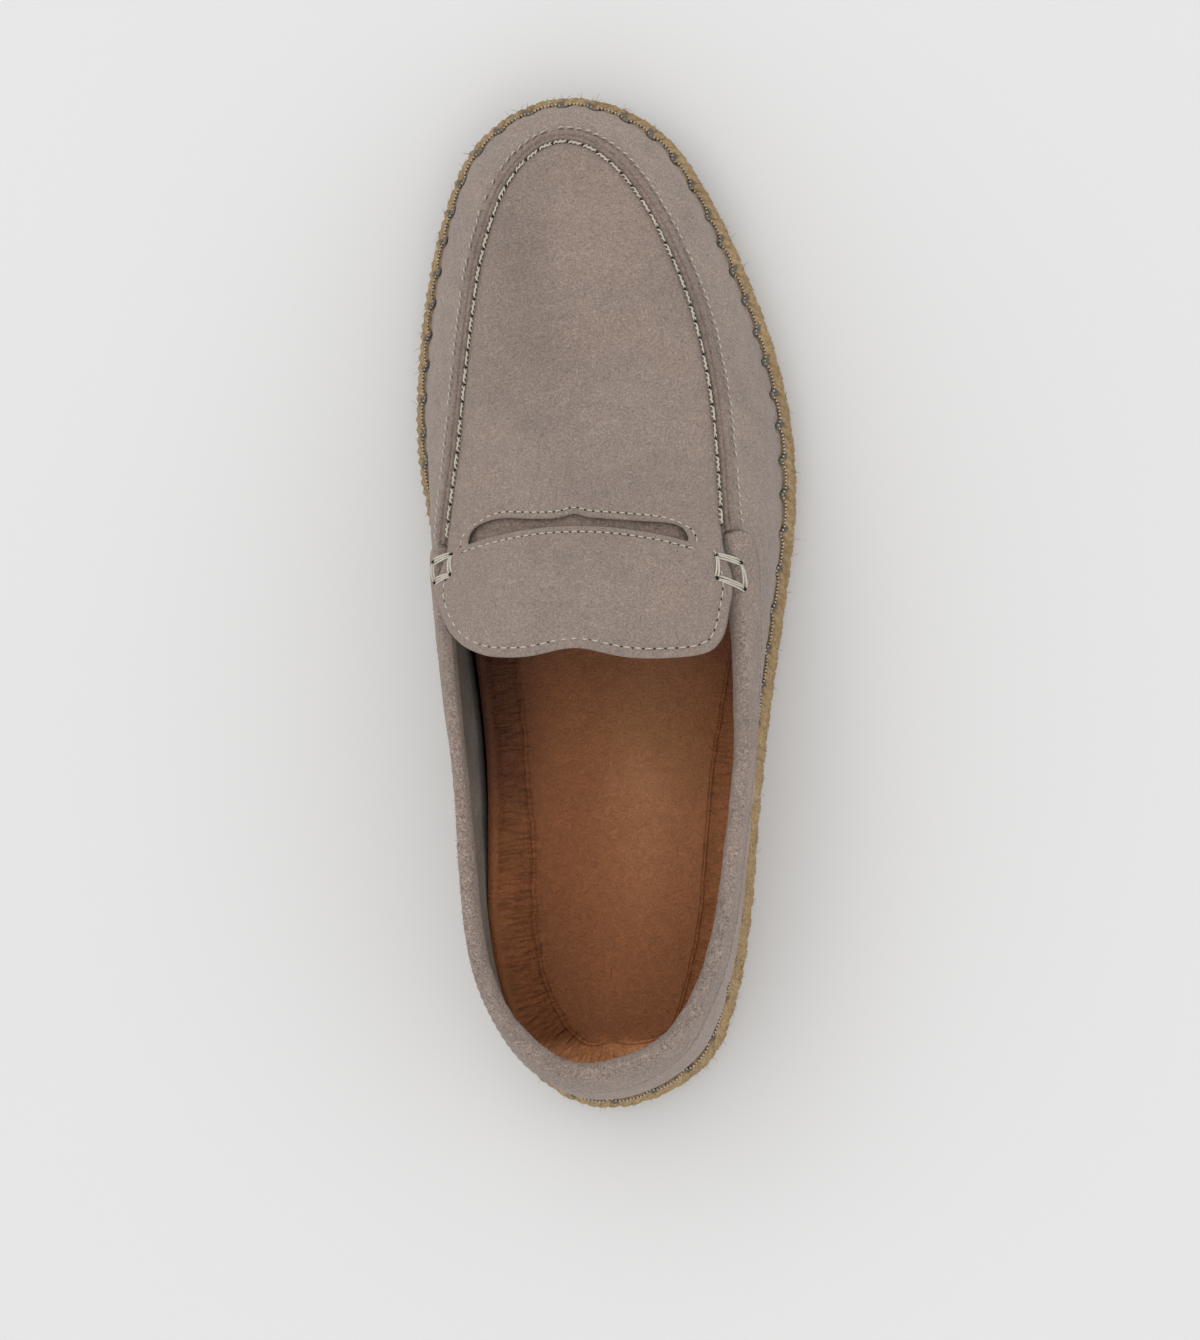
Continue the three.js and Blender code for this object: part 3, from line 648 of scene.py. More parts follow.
def leather(name):
    """Tan lining leather: smooth, with pores, fine creases and painted shade in the gathers'
    hollows.
    """
    material, tree, shader = new_material(name)
    where, uv = coordinates(tree)
    tone = cloud(tree, where, 16, 3, 0.5, 0.6)
    mottle = cloud(tree, where, 330, 5, 0.65, 0.8)
    wrinkle = cloud(tree, where, 620, 4, 0.6, 2.6)
    pores = node(tree, "ShaderNodeTexVoronoi", {"Vector": where, "Scale": 1300}).outputs["Distance"]
    color = ramp(tree, tone, [
        (0.3, (0.295, 0.103, 0.037)), (0.5, (0.345, 0.125, 0.046)), (0.7, (0.4, 0.15, 0.058)),
    ])
    # painted shade and painted light from the 'tone' attribute; its alpha holds the gathers'
    # strength
    painted_shading = node(tree, "ShaderNodeAttribute", attribute_name="tone")
    color = mix(tree, 1.0, color, painted_shading.outputs["Color"], "MULTIPLY")
    color = grade(tree, color, mottle, [(0.32, 0.92), (0.5, 1.0), (0.68, 1.07)])
    color = grade(tree, color, wrinkle, [(0.36, 0.82), (0.5, 0.99), (0.64, 1.1)])
    pleat = cloud(tree, uv, 1.0, 3, 0.55, 0.9)
    gathers_bump_and_shade = math_node(tree, "SUBTRACT", pleat, 0.5)
    gathers_bump_and_shade = math_node(tree, "MULTIPLY", gathers_bump_and_shade, painted_shading.outputs["Alpha"])
    gathers_bump_and_shade = math_node(tree, "ADD", gathers_bump_and_shade, 0.5)
    # painted shade in the gathers' hollows and painted highlight on their crests, from their bump's
    # height
    color = grade(tree, color, gathers_bump_and_shade, [(0.36, 0.74), (0.5, 1.0), (0.64, 1.16)])
    shader.inputs["Coat Weight"].default_value = 0.03
    shader.inputs["Coat Roughness"].default_value = 0.4
    fine = bump(tree, mottle, 0.0004, 1.0)
    creased = bump(tree, wrinkle, 0.0005, 1.0, fine)
    drawn = bump(tree, gathers_bump_and_shade, 0.0011, 1.0, creased)
    pitted = bump(tree, pores, 0.00008, 0.6, drawn)
    finish_material(tree, shader, color, spread(tree, mottle, 0.46, 0.62), 0.28, pitted)
    return material


def lining(name):
    material, tree, shader = new_material(name)
    where = coordinates(tree)[0]
    tone = cloud(tree, where, 60, 4, 0.6)
    grain = cloud(tree, where, 1100, 5, 0.7)
    color = ramp(tree, tone, [(0.3, (0.27, 0.24, 0.21)), (0.7, (0.43, 0.385, 0.34))])
    color = mix(tree, spread(tree, grain, 0.0, 0.5), color, (0.1, 0.086, 0.073))
    rough = spread(tree, grain, 0.8, 0.95)
    finish_material(tree, shader, color, rough, 0.15, bump(tree, grain, 0.0002))
    return material


def jute(name, light=(0.7, 0.495, 0.27), dark=(0.21, 0.13, 0.06)):
    """Twisted jute: fibres that run along each strand, in straw and brown."""
    material, tree, shader = new_material(name)
    where, uv = coordinates(tree)
    strand = node(tree, "ShaderNodeMapping", {"Vector": uv, "Scale": (0.5, 9, 1)})
    fibre = cloud(tree, strand.outputs[0], 3.0, 6, 0.7, 0.4)
    tone = cloud(tree, where, 90, 4, 0.6)
    color = ramp(tree, fibre, [
        (0.28, dark), (0.45, tuple(0.62 * a for a in light)), (0.6, light),
        (0.78, tuple(min(1, 1.3 * a) for a in light)),
    ])
    color = mix(tree, spread(tree, tone, 0.0, 0.4), color, dark)
    rough = spread(tree, fibre, 0.7, 0.92)
    finish_material(tree, shader, color, rough, 0.2, bump(tree, fibre, 0.0005))
    return material


PLIES = 2
PLY_TWIST = 1.6


def thread(name, light, dark):
    """Sewing thread: two plies wound round each other, fine fibres, painted shade between the
    plies.
    """
    material, tree, shader = new_material(name)
    uv = coordinates(tree)[1]
    strand = node(tree, "ShaderNodeMapping", {"Vector": uv, "Scale": (1.5, 8, 1)})
    fibre = cloud(tree, strand.outputs[0], 4.0, 4, 0.6)
    place = node(tree, "ShaderNodeSeparateXYZ", {"Vector": uv})
    wound = math_node(tree, "DIVIDE", place.outputs["X"], PLY_TWIST)
    turn = math_node(tree, "SUBTRACT", place.outputs["Y"], wound)
    wave = math_node(tree, "COSINE", math_node(tree, "MULTIPLY", turn, math.pi * PLIES))
    ply = math_node(tree, "ABSOLUTE", wave)
    color = ramp(tree, fibre, [(0.3, tuple(0.75 * c for c in light)), (0.6, light)])
    # painted shade: the dark colour fills the grooves between the plies
    color = mix(tree, ramp(tree, ply, [(0.1, (0, 0, 0)), (0.6, (1, 1, 1))]), dark, color)
    rough = spread(tree, fibre, 0.6, 0.85)
    finish_material(tree, shader, color, rough, 0.25, bump(tree, fibre, 0.0001))
    return material


def tread_rubber(name):
    material, tree, shader = new_material(name)
    where = coordinates(tree)[0]
    grain = cloud(tree, where, 500, 4, 0.6)
    tone = cloud(tree, where, 40, 3, 0.5)
    turned = node(tree, "ShaderNodeMapping", {"Vector": where, "Rotation": (0, 0, 0.785)})
    inputs = {"Vector": turned.outputs[0], "Scale": 55, "Distortion": 0.4}
    ribs = node(tree, "ShaderNodeTexWave", inputs)
    color = ramp(tree, tone, [(0.3, (0.2, 0.125, 0.07)), (0.7, (0.28, 0.18, 0.105))])
    color = mix(tree, spread(tree, grain, 0.0, 0.4), color, (0.13, 0.085, 0.05))
    low = bump(tree, ribs.outputs["Fac"], 0.0006, 0.7)
    rough = spread(tree, grain, 0.6, 0.8)
    finish_material(tree, shader, color, rough, None, bump(tree, grain, 0.0001, 1.0, low))
    return material


SUEDE = suede("suede", (0.42, 0.345, 0.3), nap_size=2000.0, contrast=1.7)
# a darker copy of the suede: painted shade for the underlay seen through the slot
SUEDE_UNDER_SHADED = suede("suede_under_shaded", (0.31, 0.242, 0.205), contrast=1.8)
SUEDE_APRON = suede("suede_apron", (0.37, 0.3, 0.26), nap_size=2100.0, contrast=1.5, with_painted_shading=True)
# a darker copy of the suede: painted shade on the seam band
SUEDE_BAND_SHADED = suede("suede_band_shaded", (0.31, 0.248, 0.215), contrast=1.5)
SUEDE_COLLAR = suede(
    "suede_collar", (0.535, 0.423, 0.362), nap_size=1800.0, nap_depth=0.0008, contrast=2.2,
    sheen=0.35,
)
LINING = lining("lining")
FOOTBED_LEATHER = leather("footbed_leather")
JUTE = jute("jute")
# a dark copy of the jute: painted shade in the gaps between the rope's strands
JUTE_CORE_SHADED = jute("jute_core_shaded", (0.22, 0.145, 0.07), (0.09, 0.058, 0.028))
CREAM = thread("cream_thread", (0.76, 0.71, 0.6), (0.46, 0.42, 0.33))
PALE_THREAD = thread("pale_thread", (0.74, 0.69, 0.61), (0.46, 0.41, 0.35))
DARK_THREAD = thread("dark_thread", (0.24, 0.21, 0.17), (0.09, 0.075, 0.058))
LINING_THREAD = thread("lining_thread", (0.26, 0.24, 0.21), (0.12, 0.108, 0.09))
# near black: painted shade in the needle holes and in the gaps between the edging's light dots
HOLE_SHADE = thread("needle_hole_shade", (0.02, 0.016, 0.013), (0.012, 0.01, 0.008))
COLLAR_THREAD = thread("collar_thread", (0.5, 0.42, 0.37), (0.3, 0.25, 0.215))
WHITE_THREAD = thread("edging_thread", (0.82, 0.8, 0.75), (0.6, 0.57, 0.52))
TREAD = tread_rubber("tread_rubber")


def part(obj, cad=None):
    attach(obj, "root")
    if cad:
        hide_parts(cad)
    return obj


# Stitches that hold the suede to the rope.
WRAP_PITCH_SIDE = 11.4
WRAP_PITCH_TOE = 9.2


def feather(angle):
    return wall_point(angle, 0.0)


def wall_height(angle):
    return ridge_point(angle)[..., 2] - feather(angle)[..., 2]


def wall_normal(angle, v):
    return wall_frame(angle, v)[2]


DENSE = np.linspace(0, TURN, 4001)
FEATHER_ARC = arc_along(feather(DENSE))


def feather_arc(angle):
    return np.interp(wrap(angle), DENSE, FEATHER_ARC)


def place_wraps():
    """Arc positions of the tying stitches, closer together toward the toe."""
    y = feather(DENSE)[:, 1]
    pitch = WRAP_PITCH_SIDE + (WRAP_PITCH_TOE - WRAP_PITCH_SIDE) * ease((y - 10) / 50)
    steps = np.diff(FEATHER_ARC) / ((pitch[1:] + pitch[:-1]) / 2)
    count = np.concatenate([[0], np.cumsum(steps)])
    marks = np.arange(round(count[-1])) * count[-1] / round(count[-1])
    return np.interp(marks, count, FEATHER_ARC) + RNG.normal(0, 0.35, len(marks))


WRAP_ARCS = place_wraps()
WRAP_ANGLES = np.interp(WRAP_ARCS, FEATHER_ARC, DENSE)


def pull_of(angle, width=1.5):
    """1 at each stitch that ties the suede down, 0 between them."""
    s = feather_arc(angle)[..., None]
    turn = FEATHER_ARC[-1]
    d = np.abs(np.mod(s - WRAP_ARCS + turn / 2, turn) - turn / 2).min(-1)
    return bell(d, width)


# Upper: wall inside and out, and the carrier under the apron.

# along the shoe (mm), side, height share, half length, half width, depth, slope
FLEX_CREASES = [
    (52, 1, 0.62, 9, 1.6, 0.7, 0.9),
    (63, 1, 0.5, 11, 2.0, 0.6, 0.6),
    (40, 1, 0.72, 8, 1.8, 0.5, 1.1),
    (50, -1, 0.6, 9, 1.6, 0.7, 0.9),
    (61, -1, 0.52, 10, 2.0, 0.5, 0.7),
    (-62, 1, 0.4, 13, 3.0, 0.6, -0.4),
    (-58, -1, 0.4, 13, 3.0, 0.6, -0.4),
    (-112, 1, 0.35, 10, 2.4, 0.5, 0.3),
    (-108, -1, 0.35, 10, 2.4, 0.5, 0.3),
]


def wall_relief(angle, v, p):
    """How far the suede stands off the plain wall, in millimetres."""
    d = 0.32 * wobble(p, 24, 1) + 0.12 * wobble(p, 8, 2)
    side = np.where(np.sin(angle) >= 0, 1, -1)
    d = d - tuck(v, p[..., 1])
    height = wall_height(angle)
    rise = v * height
    for y, s, level, half_length, half_width, depth, slope in FLEX_CREASES:
        up = rise - level * height
        across = p[..., 1] - y - slope * up * 0.5
        trough = spot(across, up, 0, 0, half_width, half_length)
        lips = spot(across, up, 0, 0, 2.4 * half_width, half_length)
        d = d - np.where(side == s, depth * (1.5 * trough - 0.7 * lips), 0)
    d = d + bell(rise, 1.6) * (LIP - SCALLOP * pull_of(angle))
    y = p[..., 1]
    front = ease((y - CORNER_Y) / 3)
    down = np.linalg.norm(p - ridge_point(angle), axis=-1)
    ripple = 0.65 + 0.35 * np.cos(TURN * seam_arc(angle) / FINE_PITCH)
    d = d - front * ripple * 0.8 * bell(down - 2.5, 0.7)
    d = d + front * 0.4 * bell(down - 5.0, 2.0)
    edge = COLLAR_DROP * collar_shorter(y) * collar_round(y)
    behind = ease((CORNER_Y + 0.5 - y) / 1.5)
    deep = 0.7 + 0.6 * ease((y + 55) / 40)
    d = d - behind * deep * bell(height - rise - edge - 0.5, 0.9)
    d = d + behind * 0.3 * bell(height - rise - edge - 3.0, 1.6)
    end = bell(y - CORNER_Y - 0.2, 0.8) * (down < 5)
    return d - 0.6 * end * ease(down / 2)


TUCK = 1.6
LINING_ROOM = 0.5


def tuck(v, y):
    """The wall over the forefoot bulges less than the plain wall, so that more rope shows."""
    forefoot = ease((y - 15) / 30) * (1 - 0.55 * ease((y - 95) / 30))
    return TUCK * forefoot * np.sin(math.pi * np.clip(v, 0, 1) ** 0.6)


def collar_shorter(y):
    """The collar's outer side is less deep round the heel."""
    return 1 - 0.3 * (1 - ease((y + 60) / 55)) + 0.35 * (1 - ease((y + 134) / 22))


SEAM_PITCH = 5.0
FINE_PITCH = 2.4
PLAIT = 0.42
FLAP_ROW_INSET = 2.6
FLAP_ROW_PITCH = 3.0
SLOT_ROW_PITCH = 2.3
LIP = 0.8
SCALLOP = 0.9
SEAM_START = float(ridge_angle(CORNER_Y + GAP))
_seam_dense = np.linspace(SEAM_START, TURN - SEAM_START, 3000)
_seam_table = arc_along(ridge_point(_seam_dense))


def seam_arc(angle):
    return np.interp(wrap(angle), _seam_dense, _seam_table)


UPPER_COLUMNS = 900
CARRIER_COLUMNS = 140


def make_upper():
    n = UPPER_COLUMNS
    angle = round_angles(n)
    levels = np.concatenate([[0, 0.012, 0.03, 0.055], np.linspace(0.09, 1, 42)])
    a, v = np.meshgrid(angle, levels)
    p = wall_point(a, v)
    outer = p + wall_frame(a, v)[2] * wall_relief(a, v, p)[..., None]
    outer[0, :, 2] += 0.5 * pull_of(angle)
    inner_levels = np.concatenate([np.linspace(1, 0.1, 14), [0.0]])
    ai, vi = np.meshgrid(angle, inner_levels)
    inner = beside_wall(ai, vi, -WALL - LINING_ROOM - tuck(vi, wall_point(ai, vi)[..., 1]))
    grid = np.concatenate([outer, inner])
    faces = grid_faces(len(grid), n, wrap_rows=True, wrap_cols=True)
    slots = [0] * (len(levels) * n) + [1] * ((len(grid) - len(levels)) * n)
    verts = grid.reshape(-1, 3)
    # the carrier under the apron, from the throat to the toe
    m = CARRIER_COLUMNS
    t = round_angles(m)
    y = THROAT_Y + (1 - np.cos(t)) / 2 * (RIDGE_TOE - THROAT_Y)
    side = np.where(t < math.pi, 1, -1)
    edge = ridge_inset(side * ridge_angle(y), 0.6)
    ex = edge[:, 0] * np.clip(0.72 + 0.28 * ease((y - THROAT_Y) / 12), 0, 1)
    rings = []
    rear = THROAT_Y + 6
    for depth, shares in ((WALL, (0.95, 0.7, 0.4, 0.15, 0)), (0.0, (0, 0.15, 0.4, 0.7, 0.95))):
        for w in shares:
            sx, sy = spine_point(edge[:, 1], rear)
            x = ex + (sx - ex) * w
            yy = edge[:, 1] + (sy - edge[:, 1]) * w
            rings.append(points(x, yy, under_apron(x, yy, apron_thickness(yy) + GAP + depth)))
    base = len(verts)
    faces += grid_faces(len(rings), m, wrap_cols=True, base=base)
    faces += ladder_faces(m, base, False) + ladder_faces(m, base + (len(rings) - 1) * m, True)
    count = len(faces) - len(slots)
    # the carrier's top takes the darker suede, painted shade where it shows through the slot
    slots += [1] * (m * 4) + [2] * (count - m * 4)
    verts = np.concatenate([verts, np.concatenate(rings)])
    obj = make_mesh("upper", verts, faces, [SUEDE, LINING, SUEDE_UNDER_SHADED], slots)
    part(obj, "upper")


def seam_marks(margin, pitch):
    return even_angles(ridge_point, SEAM_START + margin, TURN - SEAM_START - margin, pitch)


# The raised moccasin seam: section as shares of its width out and of its height up.
SEAM_SECTION = [
    (0.5, -1.3), (0.53, -0.3), (0.5, 0.3), (0.4, 0.7), (0.26, 0.88), (0.12, 0.84), (0.03, 0.62),
    (-0.06, 0.84), (-0.22, 1.0), (-0.36, 0.9), (-0.48, 0.62), (-0.62, 0.4), (-0.6, -0.6),
]


def make_seam():
    angle = seam_marks(0, 0.55)
    n = len(angle)
    base = ridge_point(angle)
    out = unit(base - ridge_inset(angle, 0.5))
    s = seam_arc(angle)
    swell = 1 + 0.05 * np.cos(TURN * s / SEAM_PITCH) + 0.06 * wobble(base, 9, 3)
    ends = ease(np.minimum(s, s[-1] - s) / 1.2)
    rings = []
    for u, h in SEAM_SECTION:
        width = u * SEAM_WIDTH * swell * (0.8 + 0.2 * ends)
        lift = h * SEAM_HEIGHT * (swell if h > 0 else 1) * (0.7 + 0.3 * ends if h > 0 else 1)
        rings.append(base + out * width[:, None] + points(0, 0, np.broadcast_to(lift, n)))
    verts = np.stack(rings, 1).reshape(-1, 3)
    k = len(SEAM_SECTION)
    faces = [f[::-1] for f in grid_faces(n, k, wrap_cols=True)]
    faces += [list(range(k)), list(range((n - 1) * k, n * k))[::-1]]
    # the band takes the darker suede: painted shade
    part(make_mesh("seam_band", verts, faces, [SUEDE_BAND_SHADED]), None)


def on_apron(angle, inset, lift=0.0):
    p = ridge_inset(angle, inset)
    p[..., 2] = apron_z(p[..., 0], p[..., 1]) + lift
    return p


def above_apron(x, y, lift):
    return np.array([x, y, apron_z(x, y) + lift])


def seam_stitches():
    """Thick two-ply stitches along the apron's edge, each from needle hole to needle hole."""
    inner, hole_shades = Tubes(), Tubes()
    inside = SEAM_WIDTH / 2 + 0.3
    marks = seam_marks(0.012, SEAM_PITCH)
    for a0, a1 in zip(marks, marks[1:]):
        span = a1 - a0
        sway = RNG.normal(0, 0.12, 4)
        swell = RNG.uniform(0.85, 1.15)
        start, end = a0 + span * 0.09, a0 + span * 0.9
        p = on_apron(start, inside + 0.1 + sway[0], -0.12)
        q = on_apron(end, inside - 0.1 + sway[1], -0.12)
        normal = apron_normal(p[0], p[1])
        stitch(inner, p, q, normal, 0.25 * swell, 0.3, samples=12)
        for share in (0.0, 0.3, 0.6):
            near = on_apron(start + span * share, inside - PLAIT + sway[2], 0.1)
            far = on_apron(start + span * (share + 0.26), inside + PLAIT + sway[3], 0.1)
            stitch(inner, near, far, normal, 0.22 * swell, 0.42, sides=6)
        # a near-black blob of painted shade at the needle hole
        h = on_apron(a0, inside, -0.2)
        along = unit(on_apron(a0 + 0.01, inside, -0.2) - h)
        size = RNG.uniform(0.3, 0.42)
        hole_shades.add([h - along * size, h, h + along * size], [0.2, size, 0.2], sides=8, flat=0.5)
    inner.build("seam_thread", CREAM)
    hole_shades.build("seam_hole_shade", HOLE_SHADE)


def beyond_seam(angle, out, lift):
    """A point on the wall that lies out beyond the ridge in plan."""
    levels = np.linspace(1, 0.7, 61)
    normal = wall_normal(angle, 0.95)
    flat = unit(points(normal[0], normal[1], 0))
    reach = np.maximum.accumulate((wall_point(angle, levels) - ridge_point(angle)) @ flat)
    level = np.interp(out, reach + np.arange(61) * 1e-9, levels)
    p = wall_point(angle, level)
    return p + normal * (lift + wall_relief(angle, level, p))


def outer_seam_stitches():
    """The fine row in the crease outside the band: short pale stitches between holes of painted
    shade.
    """
    fine, hole_shades = Tubes(), Tubes()
    marks = seam_marks(0.01, FINE_PITCH)
    for a0, a1 in zip(marks, marks[1:]):
        span = a1 - a0
        normal = wall_normal(a0, 0.95)
        p = beyond_seam(a0 + 0.14 * span, 2.75 + RNG.normal(0, 0.07), 0.0)
        q = beyond_seam(a0 + 0.82 * span, 2.4 + RNG.normal(0, 0.07), 0.0)
        if RNG.random() < 0.88:
            stitch(fine, p, q, unit(normal + points(0, 0, 0.5)), 0.27, 0.6, sides=6)
        # a near-black blob of painted shade at the needle hole
        h = beyond_seam(a0, 2.35, -0.25)
        along = unit(q - p)
        hole_shades.add([h - along * 0.25, h, h + along * 0.25], [0.12, 0.24, 0.12], sides=6)
    fine.build("seam_outer_thread", PALE_THREAD)
    hole_shades.build("seam_outer_hole_shade", HOLE_SHADE)


# Apron and tongue.

def resample(x, y, pitch, closed=True):
    pts = np.stack([x, y], 1)
    if closed:
        pts = np.vstack([pts, pts[:1]])
    arc = arc_along(pts)
    count = max(4, int(round(arc[-1] / pitch)))
    at = np.linspace(0, arc[-1], count + 1)
    out = np.stack([np.interp(at, arc, pts[:, 0]), np.interp(at, arc, pts[:, 1])], 1)
    return out[:-1] if closed else out


def inset_loop(loop, d):
    """A closed loop, counter-clockwise, moved to its left by d."""
    t = np.roll(loop, -1, 0) - np.roll(loop, 1, 0)
    t = t / np.linalg.norm(t, axis=1)[:, None]
    return loop + np.stack([-t[:, 1], t[:, 0]], 1) * d


def inside_loop(pts, loop):
    x, y = pts[:, 0][:, None], pts[:, 1][:, None]
    x0, y0 = loop[:, 0][None], loop[:, 1][None]
    x1, y1 = np.roll(loop[:, 0], -1)[None], np.roll(loop[:, 1], -1)[None]
    crosses = (y0 > y) != (y1 > y)
    span = np.where(y1 == y0, 1e-9, y1 - y0)
    return (np.sum(crosses & (x < (x1 - x0) * (y - y0) / span + x0), 1) % 2).astype(bool)


def loop_distance(pts, loop):
    a, b = loop, np.roll(loop, -1, 0)
    out = np.full(len(pts), 1e9)
    for start in range(0, len(pts), 800):
        p = pts[start:start + 800, None, :]
        ab = (b - a)[None]
        t = np.clip(np.sum((p - a[None]) * ab, 2) / np.maximum(np.sum(ab * ab, 2), 1e-12), 0, 1)
        d = np.linalg.norm(p - a[None] - ab * t[..., None], axis=2)
        out[start:start + 800] = d.min(1)
    return out


def apron_loops():
    t = round_angles(1200)
    x, y = apron_edge(t - 0.5 * np.sin(t))
    edge = resample(x, y, 1.3)
    u = np.sin(np.linspace(-math.pi / 2, math.pi / 2, 160)) * SLOT_HALF_WIDTH
    low = np.stack([u, slot_low(u)], 1)
    high = np.stack([u, slot_high(u)], 1)[1:-1][::-1]
    ring = np.vstack([low, high])
    return edge, resample(ring[:, 0], ring[:, 1], 0.8)


EDGE_ROUND = 1.1


def make_apron():
    edge, slot = apron_loops()
    insets = (0.3, 0.75, 1.5)
    loops = [edge] + [inset_loop(edge, d) for d in insets]
    loops += [slot] + [inset_loop(slot, -d) for d in insets]
    ex, ey = np.meshgrid(np.arange(-44, 46, 1.6), np.arange(TONGUE_Y - 2, RIDGE_TOE, 1.6))
    ex = ex + 0.8 * (np.arange(ex.shape[0]) % 2)[:, None]
    grid = np.stack([ex.ravel(), ey.ravel()], 1)
    grid = grid[inside_loop(grid, loops[3]) & ~inside_loop(grid, loops[7])]
    far = np.minimum(loop_distance(grid, loops[3]), loop_distance(grid, loops[7]))
    grid = grid[far > 0.8]
    pts = np.vstack(loops + [grid])
    edges = []
    for loop, base in ((edge, 0), (slot, sum(len(k) for k in loops[:4]))):
        edges += [(base + i, base + (i + 1) % len(loop)) for i in range(len(loop))]
    result = delaunay_2d_cdt([Vector(p) for p in pts], edges, [], 0, 1e-5)
    flat = np.array([tuple(p) for p in result[0]])
    tris = np.array([f for f in result[2] if len(f) == 3])
    middle = flat[tris].mean(1)
    keep = inside_loop(middle, edge) & ~inside_loop(middle, slot)
    tris = tris[keep]
    a, b, c = flat[tris[:, 0]], flat[tris[:, 1]], flat[tris[:, 2]]
    ab, ac = (b - a).T, (c - a).T
    turned = ab[0] * ac[1] - ab[1] * ac[0] < 0
    tris[turned] = tris[turned][:, ::-1]
    used = np.unique(tris)
    remap = -np.ones(len(flat), int)
    remap[used] = np.arange(len(used))
    flat, tris = flat[used], remap[tris]
    x, y = flat[:, 0], flat[:, 1]
    d_edge, d_slot = loop_distance(flat, edge), loop_distance(flat, slot)
    normal = apron_normal(x, y)
    p = points(x, y, apron_z(x, y))
    relief = apron_relief(p, d_edge, d_slot)
    upper = p + normal * relief[:, None]
    lower = points(x, y, under_apron(x, y, apron_thickness(y)))
    lower = lower + normal * np.minimum(0.3, 0.4 * relief)[:, None] * 0.5
    n = len(flat)
    faces = tris.tolist() + (tris[:, ::-1] + n).tolist()
    sides = [(int(f[i - 1]), int(f[i])) for f in tris for i in (1, 2, 0)]
    known = set(sides)
    faces += [(j, i, i + n, j + n) for i, j in sides if (j, i) not in known]
    obj = make_mesh("apron_tongue", np.vstack([upper, lower]), faces, [SUEDE_APRON])
    # painted shade and painted light: soft darker and lighter patches over the apron
    shade = np.ones(n)
    for cx, cy, rx, ry, change in APRON_SHADING:
        shade = shade + change * spot(x, y, cx, cy, rx, ry)
    paint_light_and_shade(obj, np.repeat(np.tile(shade, 2)[:, None], 3, 1))
    part(obj, "apron_tongue")


def rounding(d):
    """1 at a cut edge, falling to 0 over its round."""
    return 1 - np.sqrt(np.maximum(0, 1 - np.clip(1 - d / EDGE_ROUND, 0, 1) ** 2))


def apron_relief(p, d_edge, d_slot):
    """Height of the suede over the plain apron: rounded edges, sewn rows and soft unevenness."""
    x, y = p[:, 0], p[:, 1]
    front = ease((y - CORNER_Y) / 10)
    h = -0.55 * rounding(d_edge) - 0.45 * rounding(d_slot)
    h = h - front * 0.35 * bell(d_edge, 1.3)
    h = h + front * 0.4 * bell(d_edge - 4.5, 2.8)
    h = h - (1 - front) * 0.22 * bell(d_edge - 2.5, 0.7)
    h = h + 0.28 * wobble(p, 26, 5) + 0.1 * wobble(p, 9, 6)
    sewn = bell(d_slot - 1.9, 0.6)
    h = h - 0.2 * sewn + 0.2 * bell(d_slot - 0.9, 0.6)
    # soft dents over the toes and one broad flex trough before the slot
    for cx, cy, rx, ry, depth in APRON_DENTS:
        h = h - depth * spot(x, y, cx, cy, rx, ry)
    return h


# x, y, half width, half length, depth
APRON_DENTS = [
    (-14, 96, 9, 14, 0.7),
    (10, 70, 14, 10, 0.5),
    (-6, 46, 22, 6, 0.45),
    (18, 34, 9, 5, 0.4),
    (-20, 62, 7, 12, 0.45),
    (2, 112, 8, 6, 0.4),
]


# x, y, half width, half length, change of tone: patches of painted shade (below 0) and painted
# light (above 0) for the shading of the relief and of the nap where it lies the other way
APRON_SHADING = [
    (-15, 96, 9, 22, -0.15),
    (-10, 66, 12, 14, -0.08),
    (6, 70, 16, 9, -0.06),
    (18, 56, 13, 18, 0.07),
    (-20, 40, 13, 12, 0.05),
    (4, 124, 14, 5, -0.06),
    (0, 2, 34, 12, 0.06),
]


def run_stitches(tubes, hole_shades, pts, radius, gap_share, lift, hole_size):
    """Short stitches along a list of x, y points on the apron, with a needle hole at each end."""
    for i in range(len(pts) - 1):
        a, b = pts[i], pts[i + 1]
        p, q = a + (b - a) * gap_share, b - (b - a) * gap_share
        normal = apron_normal(p[0], p[1])
        ends = [above_apron(*r, -0.12) for r in (p, q)]
        stitch(tubes, ends[0], ends[1], normal, radius, lift, sides=6)
        # a near-black blob of painted shade at the needle hole
        h = above_apron(*a, -0.1)
        reach = unit(ends[1] - ends[0]) * hole_size
        hole_shades.add([h - reach, h, h + reach], hole_size * np.array([0.6, 1, 0.6]), sides=8,
                  up=normal, flat=0.5)


